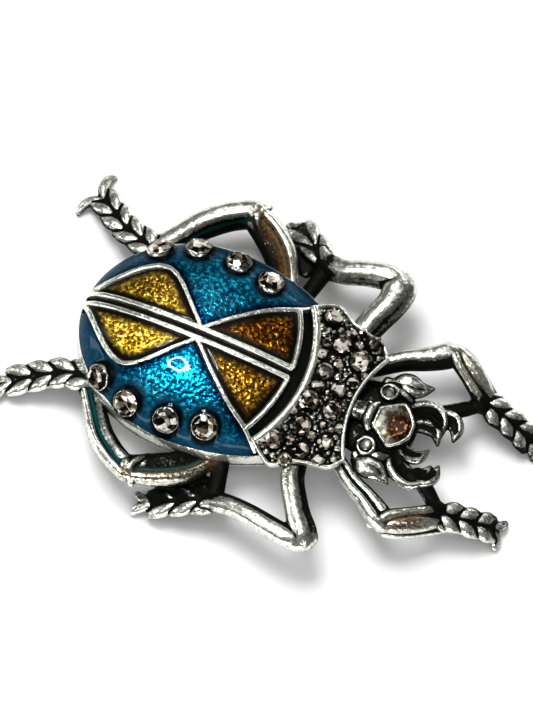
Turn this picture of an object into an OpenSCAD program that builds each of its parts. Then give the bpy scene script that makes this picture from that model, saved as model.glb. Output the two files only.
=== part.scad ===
// Beetle brooch: a cast silver-coloured beetle with enamelled wing cases,
// a stone-set collar, six linked legs and a pin behind. Millimetres, head
// towards +X, the beetle's left side towards +Y, standing on its claws.

/* [Wing case] */
// Length from the tail to the front ridge
wing_l = 22; // [19:0.5:25]
// Greatest width over the rim
wing_w = 21.4; // [19:0.2:24]
// Rise of the dome above the rim
dome_h = 5.2; // [4:0.1:6.5]
// Height of the rim band's lower edge above the table
stand_h = 2.8; // [2.4:0.1:3.4]
// Height of the bright rim band
rim_h = 1.1; // [0.8:0.1:1.4]
// Metal left under the enamel cells
wall_t = 0.9; // [0.7:0.1:1.3]
// Depth of the enamel cells
cell_d = 0.5; // [0.4:0.05:0.7]
// Width of a cell wall
ridge_w = 0.55; // [0.4:0.05:0.8]
// Width of the dark groove between the two middle ridges
suture_gap = 0.5; // [0.3:0.05:0.8]
// Radius of the arc that ends the wing case in front
front_r = 13; // [11:0.5:16]

/* [Collar] */
// Length of the collar on its middle line
collar_l = 5.4; // [4.5:0.1:6.5]
// Width of the collar over its shoulders
collar_w = 17.6; // [15.5:0.2:19]
// Dark gap between the wing case's front ridge and the collar
collar_gap = 1; // [0.7:0.1:1.4]
// Height of the collar's top above the dome's rim
collar_h = 4.1; // [3.5:0.1:5]
// Thickness of the collar's metal
collar_t = 1.7; // [1.3:0.1:2.2]
// Width of the collar's raised edge
edge_w = 0.38; // [0.3:0.02:0.6]
// Depth of the tray that the stones fill
tray_d = 0.5; // [0.35:0.05:0.7]

/* [Head] */
// Length of the head plate
plate_l = 3.9; // [3.3:0.1:4.5]
// Width of the head plate
plate_w = 4.8; // [4:0.1:5.6]
// Distance from the collar's front edge to the head plate
neck_l = 2.3; // [1.8:0.1:3]
// Outer diameter of an eye cup
eye_d = 1.95; // [1.6:0.05:2.4]
// Reach of the jaws in front of the head plate
jaw_l = 4.7; // [4:0.1:5.5]

/* [Legs] */
// Reach of a front leg from its hip to its foot
front_leg = 11; // [9.5:0.5:12.5]
// Reach of a middle leg from its hip to its knee
mid_leg = 6; // [5:0.25:7]
// Reach of a hind leg from its hip to its foot, in plan
hind_leg = 9; // [8:0.5:10]
// Width of a leg
limb_w = 2; // [1.6:0.1:2.4]
// Height of the knees above the table
knee_h = 5; // [4.2:0.1:6]
// Length of a foot with its claws
foot_l = 8; // [7:0.5:9]
// Half width of a foot over its barbs
barb_w = 1.35; // [1.1:0.05:1.6]

/* [Stones] */
// Diameter of a stone on the wing case
stone_d = 2.45; // [2.1:0.05:2.8]
// Wall of a stone's cup
cup_t = 0.2; // [0.15:0.01:0.3]
// Diameter of the largest stone on the collar
pave_d = 2.3; // [2:0.05:2.5]

/* [Pin] */
// Diameter of the pin stem
stem_d = 0.9; // [0.7:0.05:1.2]
// Height of the pin stem's middle above the table
stem_z = 1.3; // [1.1:0.05:1.6]
// Width of the hinge block and of the catch
hinge_w = 3; // [2.4:0.1:3.6]

/* [Clearance] */
// Gap between a fill or a stone and the metal round it
fit_gap = 0.06; // [0.04:0.01:0.1]
// Least gap between two stones of the collar
stone_gap = 0.12; // [0.1:0.01:0.2]

/* [Hidden] */

// The widest station of the wing case is x = 0 here. The tail lies behind
// it and the front ridge ahead of it.
half_w = wing_w / 2;
tail_l = wing_l * 0.577;
nose_l = wing_l * 0.727;
wing_front = wing_l - tail_l;
rim_z = stand_h + rim_h * 0.55;
dome_power = 2.2;
skin = 0;
proud = -0.12;
floor_t = cell_d;
inside_t = cell_d + wall_t;
round_steps = 32;
// Each ring of the dome is turned a little against the next
ring_turn = 1.3;

// Wing-case surface. A layer lies t below the finished skin.
function span_x(x, t) = (x > 0 ? nose_l : tail_l) - t;
function span_share(x, y, t) = norm([x / span_x(x, t), y / (half_w - t)]);
function rise(s) = sqrt(max(0, 1 - pow(s, dome_power)));
function dome_z(x, y, t) = rim_z + (dome_h - t) * rise(span_share(x, y, t));
function on_dome(p, t) = [
    p.x * span_x(p.x, t) / span_x(p.x, 0),
    p.y * (half_w - t) / half_w,
    rim_z + (dome_h - t) * rise(span_share(p.x, p.y, 0))
];
function dome_ring(q, s, t) = [
    s * cos(q) * span_x(cos(q), t),
    s * sin(q) * (half_w - t),
    rim_z + (dome_h - t) * rise(s)
];
function outline_point(q, t) = [cos(q) * span_x(cos(q), t), sin(q) * (half_w - t)];

// Curves of the cell walls, as shares of the wing case's length and half width.
suture_y = (suture_gap + ridge_w) / 2;
petal = [
    [-0.57, 0.065], [-0.52, 0.147], [-0.447, 0.292], [-0.375, 0.42], [-0.312, 0.49],
    [-0.262, 0.497], [-0.205, 0.44], [-0.147, 0.33], [-0.09, 0.21], [-0.035, 0.1]
];
front_line = [[0.012, 0.1], [0.118, 0.298], [0.227, 0.477], [0.334, 0.613], [0.412, 0.748]];
function wing_share(p) = [p.x * wing_l, p.y * half_w];
suture_path = [for (i = [0 : 11]) [-tail_l * 0.985 + (wing_front + tail_l * 0.985) * i / 11, suture_y]];
function front_arc(y, r) = wing_front - front_r + sqrt(r * r - y * y);

// A smooth curve through the given rows of numbers.
function blend(a, b, c, d, t) =
    0.5 * (2 * b + (c - a) * t + (2 * a - 5 * b + 4 * c - d) * t * t + (3 * b - a - 3 * c + d) * t * t * t);
function smooth(rows, steps) = [
    for (i = [0 : len(rows) - 2])
        for (k = [0 : steps - 1])
            let (
                a = rows[max(i - 1, 0)],
                d = rows[min(i + 2, len(rows) - 1)]
            )
            blend(a, rows[i], rows[i + 1], d, k / steps),
    rows[len(rows) - 1]
];
function unit(v) = v / max(norm(v), 0.000001);
function first3(row) = [row[0], row[1], row[2]];
// The same plan curve moved to the left of its run
function beside(path, d) = [
    for (i = [0 : len(path) - 1])
        let (
            run = unit(path[min(i + 1, len(path) - 1)] - path[max(i - 1, 0)])
        )
        path[i] + [-run.y, run.x] * d
];

petal_path = [for (p = smooth(petal, 2)) wing_share(p)];
front_path = [for (p = smooth(front_line, 2)) wing_share(p)];

// Rings in a row, closed by a flat face at each end. Each ring turns to the
// right about the way that the row runs.
module loft(rings) {
    n = len(rings[0]);
    m = len(rings);
    polyhedron(
        points = [for (ring = rings) for (p = ring) p],
        faces = [
            [for (k = [0 : n - 1]) k],
            for (i = [0 : m - 2])
                for (k = [0 : n - 1])
                    let (
                        a = i * n + k,
                        b = i * n + (k + 1) % n
                    )
                    each [[a, b + n, b], [a, a + n, b + n]],
            [for (k = [n - 1 : -1 : 0]) (m - 1) * n + k]
        ],
        convexity = 6
    );
}

// Rings joined end to end, such as a hoop.
module hoop(rings) {
    n = len(rings[0]);
    m = len(rings);
    polyhedron(
        points = [for (ring = rings) for (p = ring) p],
        faces = [
            for (i = [0 : m - 1])
                for (k = [0 : n - 1])
                    let (
                        a = i * n + k,
                        b = i * n + (k + 1) % n,
                        c = ((i + 1) % m) * n + (k + 1) % n,
                        d = ((i + 1) % m) * n + k
                    )
                    each [[a, c, b], [a, d, c]]
        ],
        convexity = 6
    );
}

// A slab whose upper and lower faces are grids of points.
module sheet(upper, lower) {
    m = len(upper);
    n = len(upper[0]);
    size = m * n;
    polyhedron(
        points = [for (row = upper) for (p = row) p, for (row = lower) for (p = row) p],
        faces = [
            for (i = [0 : m - 2])
                for (k = [0 : n - 2])
                    let (
                        a = i * n + k
                    )
                    each [
                        [a, a + n + 1, a + 1], [a, a + n, a + n + 1],
                        [size + a, size + a + 1, size + a + n + 1], [size + a, size + a + n + 1, size + a + n]
                    ],
            for (i = [0 : m - 2])
                let (
                    a = i * n,
                    b = i * n + n - 1
                )
                each [
                    [a, size + a + n, a + n], [a, size + a, size + a + n],
                    [b, size + b + n, size + b], [b, b + n, size + b + n]
                ],
            for (k = [0 : n - 2])
                let (
                    a = k,
                    b = (m - 1) * n + k
                )
                each [
                    [a, size + a + 1, size + a], [a, a + 1, size + a + 1],
                    [b, size + b + 1, b + 1], [b, size + b, size + b + 1]
                ]
        ],
        convexity = 6
    );
}

// A leg, jaw or barb. Each row has the place, half width, half height and
// how far the top is pressed in.
module limb(rows, sides = 7) {
    n = len(rows);
    loft([
        for (i = [0 : n - 1])
            let (
                row = rows[i],
                run = unit(first3(rows[min(i + 1, n - 1)]) - first3(rows[max(i - 1, 0)])),
                side = unit(cross([0, 0, 1], run)),
                up = cross(run, side),
                dent = row[5] == undef ? 0 : row[5]
            )
            [
                for (k = [0 : sides - 1])
                    let (
                        q = 90 + 360 * k / sides,
                        tall = row[4] * (k == 0 ? 1 - dent : 1)
                    )
                    first3(row) + side * row[3] * cos(q) + up * tall * sin(q)
            ]
    ]);
}

// A wall along a curve on the dome.
module ridge(path, wide, top) {
    n = len(path);
    loft([
        for (i = [0 : n - 1])
            let (
                run = unit(path[min(i + 1, n - 1)] - path[max(i - 1, 0)]),
                side = [-run.y, run.x] * wide / 2
            )
            [
                on_dome(path[i] + side, floor_t + 0.25),
                on_dome(path[i] + side * 0.85, top),
                on_dome(path[i] - side * 0.85, top),
                on_dome(path[i] - side, floor_t + 0.25)
            ]
    ]);
}

// Places things on a surface with its normal upwards.
module stand_on(p, n) {
    translate(p)
        rotate([0, acos(n.z), atan2(n.y, n.x)])
            children();
}

module mirrored() {
    children();
    mirror([0, 1, 0])
        children();
}

// Wing case
module wing_shell() {
    steps = 7;
    loft([
        for (i = [0 : steps])
            let (
                s = sin(2 + 88 * i / steps)
            )
            [for (k = [0 : round_steps - 1]) dome_ring(ring_turn * i - 360 * k / round_steps, s, floor_t)],
        for (i = [steps : -2 : 1])
            let (
                s = sin(2 + 88 * i / steps)
            )
            [for (k = [0 : round_steps - 1]) dome_ring(ring_turn * i - 360 * k / round_steps, s, inside_t)]
    ]);
}

module rim_band() {
    hoop([
        for (k = [0 : round_steps - 1])
            let (
                q = 360 * k / round_steps,
                outer = outline_point(q, skin),
                inner = outline_point(q, inside_t + 0.12)
            )
            [
                [outer.x, outer.y, stand_h],
                [inner.x, inner.y, stand_h],
                [inner.x, inner.y, stand_h + rim_h],
                [outer.x, outer.y, stand_h + rim_h]
            ]
    ]);
}

module cell_walls() {
    arc_y = front_line[3].y * half_w;
    mirrored() {
        ridge(suture_path, ridge_w, proud);
        ridge(petal_path, ridge_w, proud);
        ridge(front_path, ridge_w, proud);
        ridge([for (i = [0 : 8]) let (y = suture_y + (arc_y - suture_y) * i / 8) [front_arc(y, front_r), y]], ridge_w, proud);
    }
}

// Enamel. Each fill is a grid of points across the dome that keeps a gap to
// the cell walls and to the floor of its cell.
wall_gap = ridge_w / 2 + fit_gap;
cell_side = suture_y + wall_gap;
module fill(grid) {
    sheet(
        [for (row = grid) [for (p = row) on_dome(p, skin)]],
        [for (row = grid) [for (p = row) on_dome(p, cell_d - 1.4 * fit_gap)]]
    );
}

module rear_fill() {
    columns = 3;
    fill([
        for (p = beside(petal_path, -wall_gap))
            if (p.y > cell_side + 0.12)
                [for (k = [0 : columns]) [p.x, p.y + (cell_side - p.y) * k / columns]]
    ]);
}

module front_fill() {
    columns = 4;
    arc_r = front_r - wall_gap;
    corner_y = front_line[3].y * half_w - ridge_w * 0.9;
    line = [
        for (p = beside(front_path, -wall_gap))
            if (p.y > cell_side + 0.12 && p.y < corner_y - 0.2)
                p,
        [front_arc(corner_y, arc_r), corner_y]
    ];
    n = len(line) - 1;
    nose_x = front_arc(cell_side, arc_r);
    fill([
        for (i = [0 : n])
            [
                for (k = [0 : columns])
                    let (
                        q = k / columns,
                        side_x = line[0].x + (nose_x - line[0].x) * i / n,
                        x = line[i].x + (side_x - line[i].x) * q,
                        y = line[i].y + (cell_side - line[i].y) * q,
                        chord = nose_x + (line[n].x - nose_x) * (y - cell_side) / (corner_y - cell_side)
                    )
                    [x + (front_arc(y, arc_r) - chord) * i * i / (n * n), y]
            ]
    ]);
}

module flank_fill() {
    columns = 5;
    apex = wing_share([-0.012, 0.17]);
    inner = [
        for (p = beside(petal_path, wall_gap))
            if (p.x > -tail_l * 0.93 && (p.x < -tail_l * 0.5 || p.y > apex.y + 0.2))
                p,
        apex,
        for (p = beside(front_path, wall_gap))
            if (p.y > apex.y + 0.2)
                p
    ];
    n = len(inner) - 1;
    rear_q = 171;
    front_q = 56;
    fill([
        for (i = [0 : n])
            let (
                outer = outline_point(rear_q + (front_q - rear_q) * i / n, skin) * 0.99
            )
            [for (k = [0 : columns]) outer + (inner[i] - outer) * pow(k / columns, 1.6)]
    ]);
}

module enamel_blue() {
    color("deepskyblue")
        difference() {
            flank_fill();
            for (i = [0 : len(stone_places) - 1])
                at_stone(i)
                    translate([0, 0, -stone_d])
                        cylinder(h = 2 * stone_d, d = cup_d + 2 * fit_gap, $fn = cup_sides);
        }
}
module enamel_blue_left() {
    place()
        enamel_blue();
}
module enamel_blue_right() {
    place()
        mirror([0, 1, 0])
            enamel_blue();
}
module enamel_rear_left() {
    place()
        color("goldenrod")
            rear_fill();
}
module enamel_rear_right() {
    place()
        mirror([0, 1, 0])
            color("goldenrod")
                rear_fill();
}
module enamel_front_left() {
    place()
        color("goldenrod")
            front_fill();
}
module enamel_front_right() {
    place()
        mirror([0, 1, 0])
            color("goldenrod")
                front_fill();
}

// Stones on the wing case, as shares of its length and half width.
stone_places = [[-0.35, 0.67], [-0.189, 0.803], [0.005, 0.812], [0.173, 0.739]];
cup_up = stone_d * 0.26;
stone_lift = stone_d * 0.16;
cup_d = stone_d + 2 * (fit_gap + cup_t);
cup_sides = 12;
function dome_normal(p) =
    let (
        e = 0.05
    )
    unit([
        (dome_z(p.x - e, p.y, skin) - dome_z(p.x + e, p.y, skin)) / (2 * e),
        (dome_z(p.x, p.y - e, skin) - dome_z(p.x, p.y + e, skin)) / (2 * e),
        1
    ]);
module at_stone(i) {
    p = wing_share(stone_places[i]);
    stand_on(on_dome(p, skin), dome_normal(p))
        children();
}

module stone_cup() {
    deep = cell_d + wall_t * 0.5;
    difference() {
        translate([0, 0, -deep])
            cylinder(h = deep + cup_up, d1 = cup_d * 0.92, d2 = cup_d, $fn = cup_sides);
        translate([0, 0, stone_lift - stone_d * 0.3])
            cylinder(h = stone_d, d = stone_d + 2 * (fit_gap + cup_t * 0.2), $fn = cup_sides);
    }
}

// Cut stone: table, eight crown facets, eight pavilion facets and a small
// flat below.
module cut_stone(d) {
    loft([
        for (row = [[0.2, -0.26], [0.5, 0], [0.29, 0.18]])
            [for (k = [0 : 7]) [d * row[0] * cos(45 * k + 22.5), d * row[0] * sin(45 * k + 22.5), d * row[1]]]
    ]);
}
module wing_stone(i) {
    color("dimgray")
        at_stone(i)
            translate([0, 0, stone_lift])
                cut_stone(stone_d);
}
module stone_left_1() {
    place()
        wing_stone(0);
}
module stone_left_2() {
    place()
        wing_stone(1);
}
module stone_left_3() {
    place()
        wing_stone(2);
}
module stone_left_4() {
    place()
        wing_stone(3);
}
module stone_right_1() {
    place()
        mirror([0, 1, 0])
            wing_stone(0);
}
module stone_right_2() {
    place()
        mirror([0, 1, 0])
            wing_stone(1);
}
module stone_right_3() {
    place()
        mirror([0, 1, 0])
            wing_stone(2);
}
module stone_right_4() {
    place()
        mirror([0, 1, 0])
            wing_stone(3);
}

// Collar. Its outline is an arc behind, an arc in front and a notched side.
collar_rear = wing_front + ridge_w / 2 + collar_gap;
collar_front = collar_rear + collar_l;
collar_half = collar_w / 2;
side_points = [
    [1.27, 0.63], [1.08, 0.77], [0.86, 0.815], [0.6, 0.845], [0.38, 0.89],
    [0.14, 0.995], [-0.07, 0.98], [-0.41, 0.835]
];
function collar_share(p) = [collar_rear + p.x * collar_l, p.y * collar_half];
function rear_edge(y) = collar_rear - front_r + sqrt(front_r * front_r - y * y);
function front_edge(y) = collar_front + y * y * 0.27 * collar_l / (collar_half * 0.63 * collar_half * 0.63);
// Point of the collar's plan: row i of side_points, share v across from -1 to 1
function collar_point(i, v) =
    let (
        side = collar_share(side_points[i]),
        y = side.y * v,
        ahead = 1 - i / (len(side_points) - 1),
        bow = ahead * (front_edge(y) - front_edge(side.y)) + (1 - ahead) * (rear_edge(y) - rear_edge(side.y))
    )
    [side.x + bow, y];
function collar_z(x, y) =
    let (
        mid = rim_z + collar_h - 0.16 * (x - collar_rear),
        low = rim_z + collar_h * 0.25,
        q = min(1, abs(y) / (collar_half * 1.07))
    )
    low + (mid - low) * pow(1 - pow(q, 3), 1 / 3);
function collar_normal(p) =
    let (
        e = 0.05
    )
    unit([
        (collar_z(p.x - e, p.y) - collar_z(p.x + e, p.y)) / (2 * e),
        (collar_z(p.x, p.y - e) - collar_z(p.x, p.y + e)) / (2 * e),
        1
    ]);
collar_steps = 10;
function across(k) = 1 - 2 * k / collar_steps;
module collar() {
    last = len(side_points) - 1;
    grid = [for (i = [0 : last]) [for (k = [0 : collar_steps]) collar_point(last - i, across(k))]];
    sheet(
        [for (row = grid) [for (p = row) [p.x, p.y, collar_z(p.x, p.y) - tray_d]]],
        [for (row = grid) [for (p = row) [p.x, p.y, collar_z(p.x, p.y) - collar_t]]]
    );
    // Raised edge, a bar that runs all round
    edge = [
        for (k = [0 : collar_steps]) grid[0][k],
        for (i = [1 : last - 1]) grid[i][collar_steps],
        for (k = [collar_steps : -1 : 0]) grid[last][k],
        for (i = [last - 1 : -1 : 1]) grid[i][0]
    ];
    n = len(edge);
    hoop([
        for (i = [0 : n - 1])
            let (
                p = edge[i],
                along = unit(edge[(i + 1) % n] - edge[(i + n - 1) % n]),
                inward = [-along.y, along.x],
                outer = p - inward * 0.05 + along * 0.03,
                inner = p + inward * edge_w - along * 0.04
            )
            [
                [outer.x, outer.y, collar_z(p.x, p.y) - tray_d - 0.3],
                [inner.x, inner.y, collar_z(inner.x, inner.y) - tray_d - 0.3],
                [inner.x, inner.y, collar_z(inner.x, inner.y)],
                [outer.x, outer.y, collar_z(p.x, p.y)]
            ]
    ]);
}

// Collar stones: along, across and diameter, as shares.
pave_side = [
    [0.03, 0.745, 0.87], [0.4, 0.6, 0.95], [0.83, 0.5, 0.95], [0.94, 0.68, 0.49], [0.34, 0.785, 0.48],
    [0.28, 0.2, 0.86], [0.64, 0.26, 0.74], [0.12, 0.44, 0.6], [0.6, 0.74, 0.44], [1.08, 0.6, 0.36],
    [0.52, 0.4, 0.36], [0.88, 0.3, 0.42], [0.02, 0.58, 0.3], [0.115, 0.305, 0.3], [0.66, 0.62, 0.3]
];
pave_middle = [[0.2, 0, 0.5], [0.42, 0, 0.62], [0.775, 0, 0.7]];
module pave_stone(row, side) {
    p = [collar_rear + row[0] * collar_l, side * row[1] * collar_half];
    n = collar_normal(p);
    d = pave_d * row[2] - stone_gap;
    stand_on([p.x, p.y, collar_z(p.x, p.y)] - n * (tray_d - stone_gap - d * 0.26), n)
        cut_stone(d);
}
module pave_stones() {
    place()
        color("gray") {
            for (row = pave_side)
                for (side = [-1, 1])
                    pave_stone(row, side);
            for (row = pave_middle)
                pave_stone(row, 1);
        }
}

// Head
plate_rear = collar_front + neck_l;
plate_top = rim_z + collar_h * 0.58;
plate_thick = 1.5;
plate_tilt = 6;
plate_points = [[0.02, 0.2], [0.34, 0.37], [0.6, 0.5], [0.86, 0.33], [1, 0.12]];
module plate_outline(inset) {
    offset(delta = -inset)
        polygon([
            for (p = plate_points) [p.x * plate_l, p.y * plate_w],
            for (i = [len(plate_points) - 1 : -1 : 0]) [plate_points[i].x * plate_l, -plate_points[i].y * plate_w]
        ]);
}
module on_plate() {
    translate([plate_rear, 0, plate_top])
        rotate([0, plate_tilt, 0])
            children();
}
fill_d = 0.35;
module head() {
    base_z = stand_h + 0.5;
    base_top = base_z + 0.9;
    on_plate()
        difference() {
            translate([0, 0, -plate_thick])
                linear_extrude(plate_thick)
                    plate_outline(0);
            translate([0, 0, -fill_d])
                linear_extrude(plate_thick)
                    plate_outline(edge_w);
        }
    // Throat plate that joins the collar, the eyes, the head plate and the jaws
    for (side = [-1, 1])
        hull() {
            translate([collar_front - 0.6, side * plate_w * 0.62, base_z])
                cylinder(h = base_top - base_z + 0.3, r = 0.9, $fn = 8);
            translate([collar_front - 0.6, 0, base_z])
                cylinder(h = base_top - base_z + 1.1, r = 0.9, $fn = 8);
            translate([plate_rear + plate_l * 0.25, side * plate_w * 0.6, base_z])
                cylinder(h = base_top - base_z, r = 0.9, $fn = 8);
            translate([plate_rear + plate_l * 0.8, side * plate_w * 0.35, base_z])
                cylinder(h = base_top - base_z, r = 0.7, $fn = 8);
        }
    // Neck band
    hull() {
        translate([collar_front - 0.3, 0, plate_top - 0.4])
            scale([0.8, 1.3, 0.6])
                sphere(r = 0.75, $fn = 8);
        translate([plate_rear + 0.3, 0, plate_top - 0.75])
            scale([0.6, 1.2, 0.5])
                sphere(r = 0.8, $fn = 8);
    }
}

eye_at = [collar_front + neck_l * 1.13, plate_w * 0.62, rim_z + 1.6];
eye_lean = 14;
module on_eye(side) {
    translate([eye_at.x, side * eye_at.y, eye_at.z])
        rotate([-side * eye_lean, -8, 0])
            children();
}
module eye_cup(side) {
    on_eye(side)
        difference() {
            translate([0, 0, -1.5])
                cylinder(h = 1.5, d1 = eye_d * 1.1, d2 = eye_d * 0.9, $fn = 16);
            translate([0, 0, -fill_d])
                cylinder(h = 1, d = eye_d * 0.66, $fn = 16);
        }
}

module enamel_head() {
    place()
        color("peru")
            on_plate()
                translate([0, 0, fit_gap - fill_d])
                    linear_extrude(fill_d - fit_gap)
                        plate_outline(edge_w + fit_gap);
}
module eye_fill(side) {
    color("lightslategray")
        on_eye(side)
            translate([0, 0, fit_gap - fill_d])
                cylinder(h = fill_d - fit_gap, d = eye_d * 0.66 - 3 * fit_gap, $fn = 32);
}
module enamel_eye_left() {
    place()
        eye_fill(1);
}
module enamel_eye_right() {
    place()
        eye_fill(-1);
}

// Antenna leaves and jaws, as shares of the plate's width and the jaws' reach
module feelers() {
    root = plate_rear;
    z = rim_z + 0.7;
    limb([
        [root - 1.4, plate_w * 0.78, z - 0.1, 0.5, 0.5],
        [root - 0.2, plate_w * 0.94, z + 0.35, 0.75, 0.45, 0.3],
        [root + 1.1, plate_w * 0.98, z + 0.3, 0.85, 0.4, 0.3],
        [root + 2.4, plate_w * 1.05, z + 0.05, 0.6, 0.35, 0.2],
        [root + 3.6, plate_w * 1.15, z - 0.1, 0.15, 0.15]
    ], 6);
    limb([
        [root - 0.4, plate_w * 0.84, z, 0.5, 0.4],
        [root + 1.4, plate_w * 0.83, z, 0.65, 0.35, 0.2],
        [root + 2.9, plate_w * 0.8, z - 0.2, 0.15, 0.15]
    ], 6);
}
module jaws() {
    root = plate_rear + plate_l * 0.8;
    z = rim_z + 0.5;
    limb([for (row = smooth([
        [-0.1, 0.5, 0.1, 0.6, 0.6, 0],
        [0.15, 0.76, 0.25, 0.85, 0.7, 0.6],
        [0.45, 0.86, 0.2, 0.9, 0.7, 0.75],
        [0.66, 0.74, 0.05, 0.7, 0.6, 0.6],
        [0.77, 0.42, -0.15, 0.2, 0.25, 0]
    ], 2)) [root + row[0] * jaw_l, row[1] * plate_w, z + row[2], row[3], row[4], row[5]]]);
    limb([for (row = [
        [0.6, 0.84, 0, 0.55, 0.5, 0],
        [0.9, 0.84, 0.05, 0.66, 0.6, 0.4],
        [1.04, 0.68, -0.05, 0.55, 0.5, 0.3],
        [1.05, 0.43, -0.2, 0.18, 0.2, 0]
    ]) [root + row[0] * jaw_l, row[1] * plate_w, z + row[2], row[3], row[4], row[5]]]);
    limb([for (row = [
        [-0.1, 0.25, 0, 0.45, 0.45, 0],
        [0.18, 0.4, 0.1, 0.58, 0.5, 0.3],
        [0.46, 0.37, 0, 0.54, 0.45, 0.3],
        [0.63, 0.14, -0.15, 0.16, 0.18, 0]
    ]) [root + row[0] * jaw_l, row[1] * plate_w, z + row[2], row[3], row[4], row[5]]]);
}

// Legs. Rows hold shares: along and out of the leg's reach, up of the
// knees' height, half width and half height of the limb's width, and dent.
function leg_rows(hip, reach, rows) = [
    for (row = smooth(rows, 2)) [
        hip.x + row[0] * reach, hip.y + row[1] * reach, row[2] * knee_h,
        row[3] * limb_w, row[4] * limb_w, row[5]
    ]
];
front_hip = [collar_front + 1.25, collar_half * 0.66];
mid_hip = [collar_rear + collar_l * 0.63, collar_half * 0.9];
hind_hip = [wing_l * 0.22, half_w * 0.9];
front_femur = [
    [-0.08, -0.06, 0.82, 0.36, 0.45, 0], [0.12, 0.08, 0.86, 0.4, 0.48, 0.1],
    [0.3, 0.18, 0.89, 0.46, 0.48, 0.25], [0.5, 0.3, 0.91, 0.58, 0.5, 0.1], [0.56, 0.34, 0.9, 0.3, 0.28, 0]
];
front_tibia = [
    [0.47, 0.33, 0.9, 0.3, 0.35, 0], [0.56, 0.29, 0.88, 0.55, 0.5, 0.35],
    [0.74, 0.195, 0.8, 0.6, 0.46, 0.5], [0.9, 0.07, 0.67, 0.62, 0.4, 0.5], [0.98, 0.01, 0.58, 0.5, 0.3, 0.2]
];
mid_femur = [
    [-0.05, -0.2, 0.88, 0.5, 0.45, 0], [0.08, 0.2, 0.98, 0.54, 0.44, 0.2],
    [0.22, 0.55, 1.05, 0.55, 0.44, 0.3], [0.27, 0.88, 1.1, 0.62, 0.48, 0.2], [0.18, 1.06, 1.08, 0.4, 0.3, 0]
];
mid_tibia = [
    [0.28, 0.86, 1.05, 0.4, 0.35, 0], [0.05, 0.99, 1.06, 0.52, 0.42, 0.15],
    [-0.36, 0.93, 0.96, 0.46, 0.4, 0.25], [-0.72, 0.82, 0.86, 0.44, 0.38, 0.3],
    [-1.02, 0.86, 0.76, 0.46, 0.36, 0.1], [-1.24, 1.08, 0.78, 0.16, 0.16, 0]
];
hind_femur = [
    [0.02, -0.1, 0.58, 0.5, 0.38, 0], [-0.06, 0.14, 0.63, 0.46, 0.44, 0.2],
    [-0.2, 0.33, 0.79, 0.48, 0.54, 0.5], [-0.44, 0.5, 0.84, 0.52, 0.54, 0.5], [-0.68, 0.6, 0.84, 0.55, 0.5, 0.1]
];
hind_tibia = [
    [-0.62, 0.62, 0.85, 0.45, 0.46, 0], [-0.86, 0.5, 0.83, 0.4, 0.5, 0.1],
    [-1.12, 0.3, 0.77, 0.4, 0.5, 0.2], [-1.35, 0.02, 0.62, 0.42, 0.42, 0.2], [-1.53, -0.22, 0.56, 0.38, 0.36, 0]
];
// Feet: along, out and up as shares of the foot's length, from the limb's end
front_foot = [[0, 0, 0.39], [0.24, -0.04, 0.32], [0.46, -0.09, 0.22], [0.6, -0.14, 0.13]];
mid_foot_left = [[0, 0, 0.4], [-0.2, 0.15, 0.33], [-0.36, 0.28, 0.24], [-0.5, 0.36, 0.12]];
mid_foot_right = [[0, 0, 0.4], [-0.26, 0.1, 0.33], [-0.54, 0.22, 0.22], [-0.74, 0.3, 0.12]];
hind_foot_left = [[0, 0, 0.4], [-0.22, 0.09, 0.35], [-0.5, 0.2, 0.27], [-0.74, 0.37, 0.18], [-0.92, 0.46, 0.13]];
hind_foot_right = [[0, 0, 0.4], [-0.26, 0.02, 0.35], [-0.52, 0.12, 0.27], [-0.78, 0.26, 0.18], [-0.95, 0.36, 0.134]];
function leg_end(hip, reach, rows) = [
    hip.x + rows[len(rows) - 1][0] * reach,
    hip.y + rows[len(rows) - 1][1] * reach
];
function foot_line(end, rows) = [
    for (row = rows) [end.x + row[0] * foot_l, end.y + row[1] * foot_l, row[2] * foot_l]
];
claw_tip = 0.3;
claw_r = 0.5;
// A ring of a foot. Its sides run ahead of its top and bottom.
function barb_ring(p, run, wide, tall, ahead) =
    let (
        side = unit(cross([0, 0, 1], run)),
        up = cross(run, side)
    )
    [
        for (k = [0 : 7])
            let (
                c = cos(90 + 45 * k),
                s = sin(90 + 45 * k)
            )
            p + side * wide * c + up * tall * s + run * ahead * c * c
    ];
// One foot: a row of swept barbs that open ahead, one inside the next, and a
// pair of claws on the table
module foot(line, pairs, claw) {
    n = len(line);
    pitch = (n - 1) / pairs;
    loft([
        for (i = [0 : pairs - 1])
            let (
                k = min(floor((i + 0.3) * pitch), n - 2),
                p = line[k] + (line[k + 1] - line[k]) * ((i + 0.3) * pitch - k),
                run = unit(line[k + 1] - line[k])
            )
            each [
                barb_ring(p - run * 0.5, run, barb_w * 0.5, barb_w * 0.4, 0.1),
                barb_ring(p, run, barb_w * 0.98, barb_w * 0.44, 1),
                barb_ring(p + run * 0.85, run, barb_w, barb_w * 0.3, 0.95),
                barb_ring(p + run * 0.9, run, barb_w * 0.5, barb_w * 0.32, 0.1)
            ]
    ]);
    tail = line[n - 1];
    run = unit(tail - line[n - 2]);
    level = unit([run.x, run.y, 0]);
    out = cross([0, 0, 1], level);
    function claw_row(side, share, radius) =
        let (
            q = tail - run * 0.4 + out * side * share * claw * 0.5 + level * claw * share * share
        )
        [q.x, q.y, q.z + (claw_tip - q.z) * share * share, radius, radius];
    limb([
        claw_row(1, 1, claw_tip), claw_row(1, 0.6, claw_r), claw_row(0, 0, claw_r),
        claw_row(-1, 0.6, claw_r), claw_row(-1, 1, claw_tip)
    ], 4);
}

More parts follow.
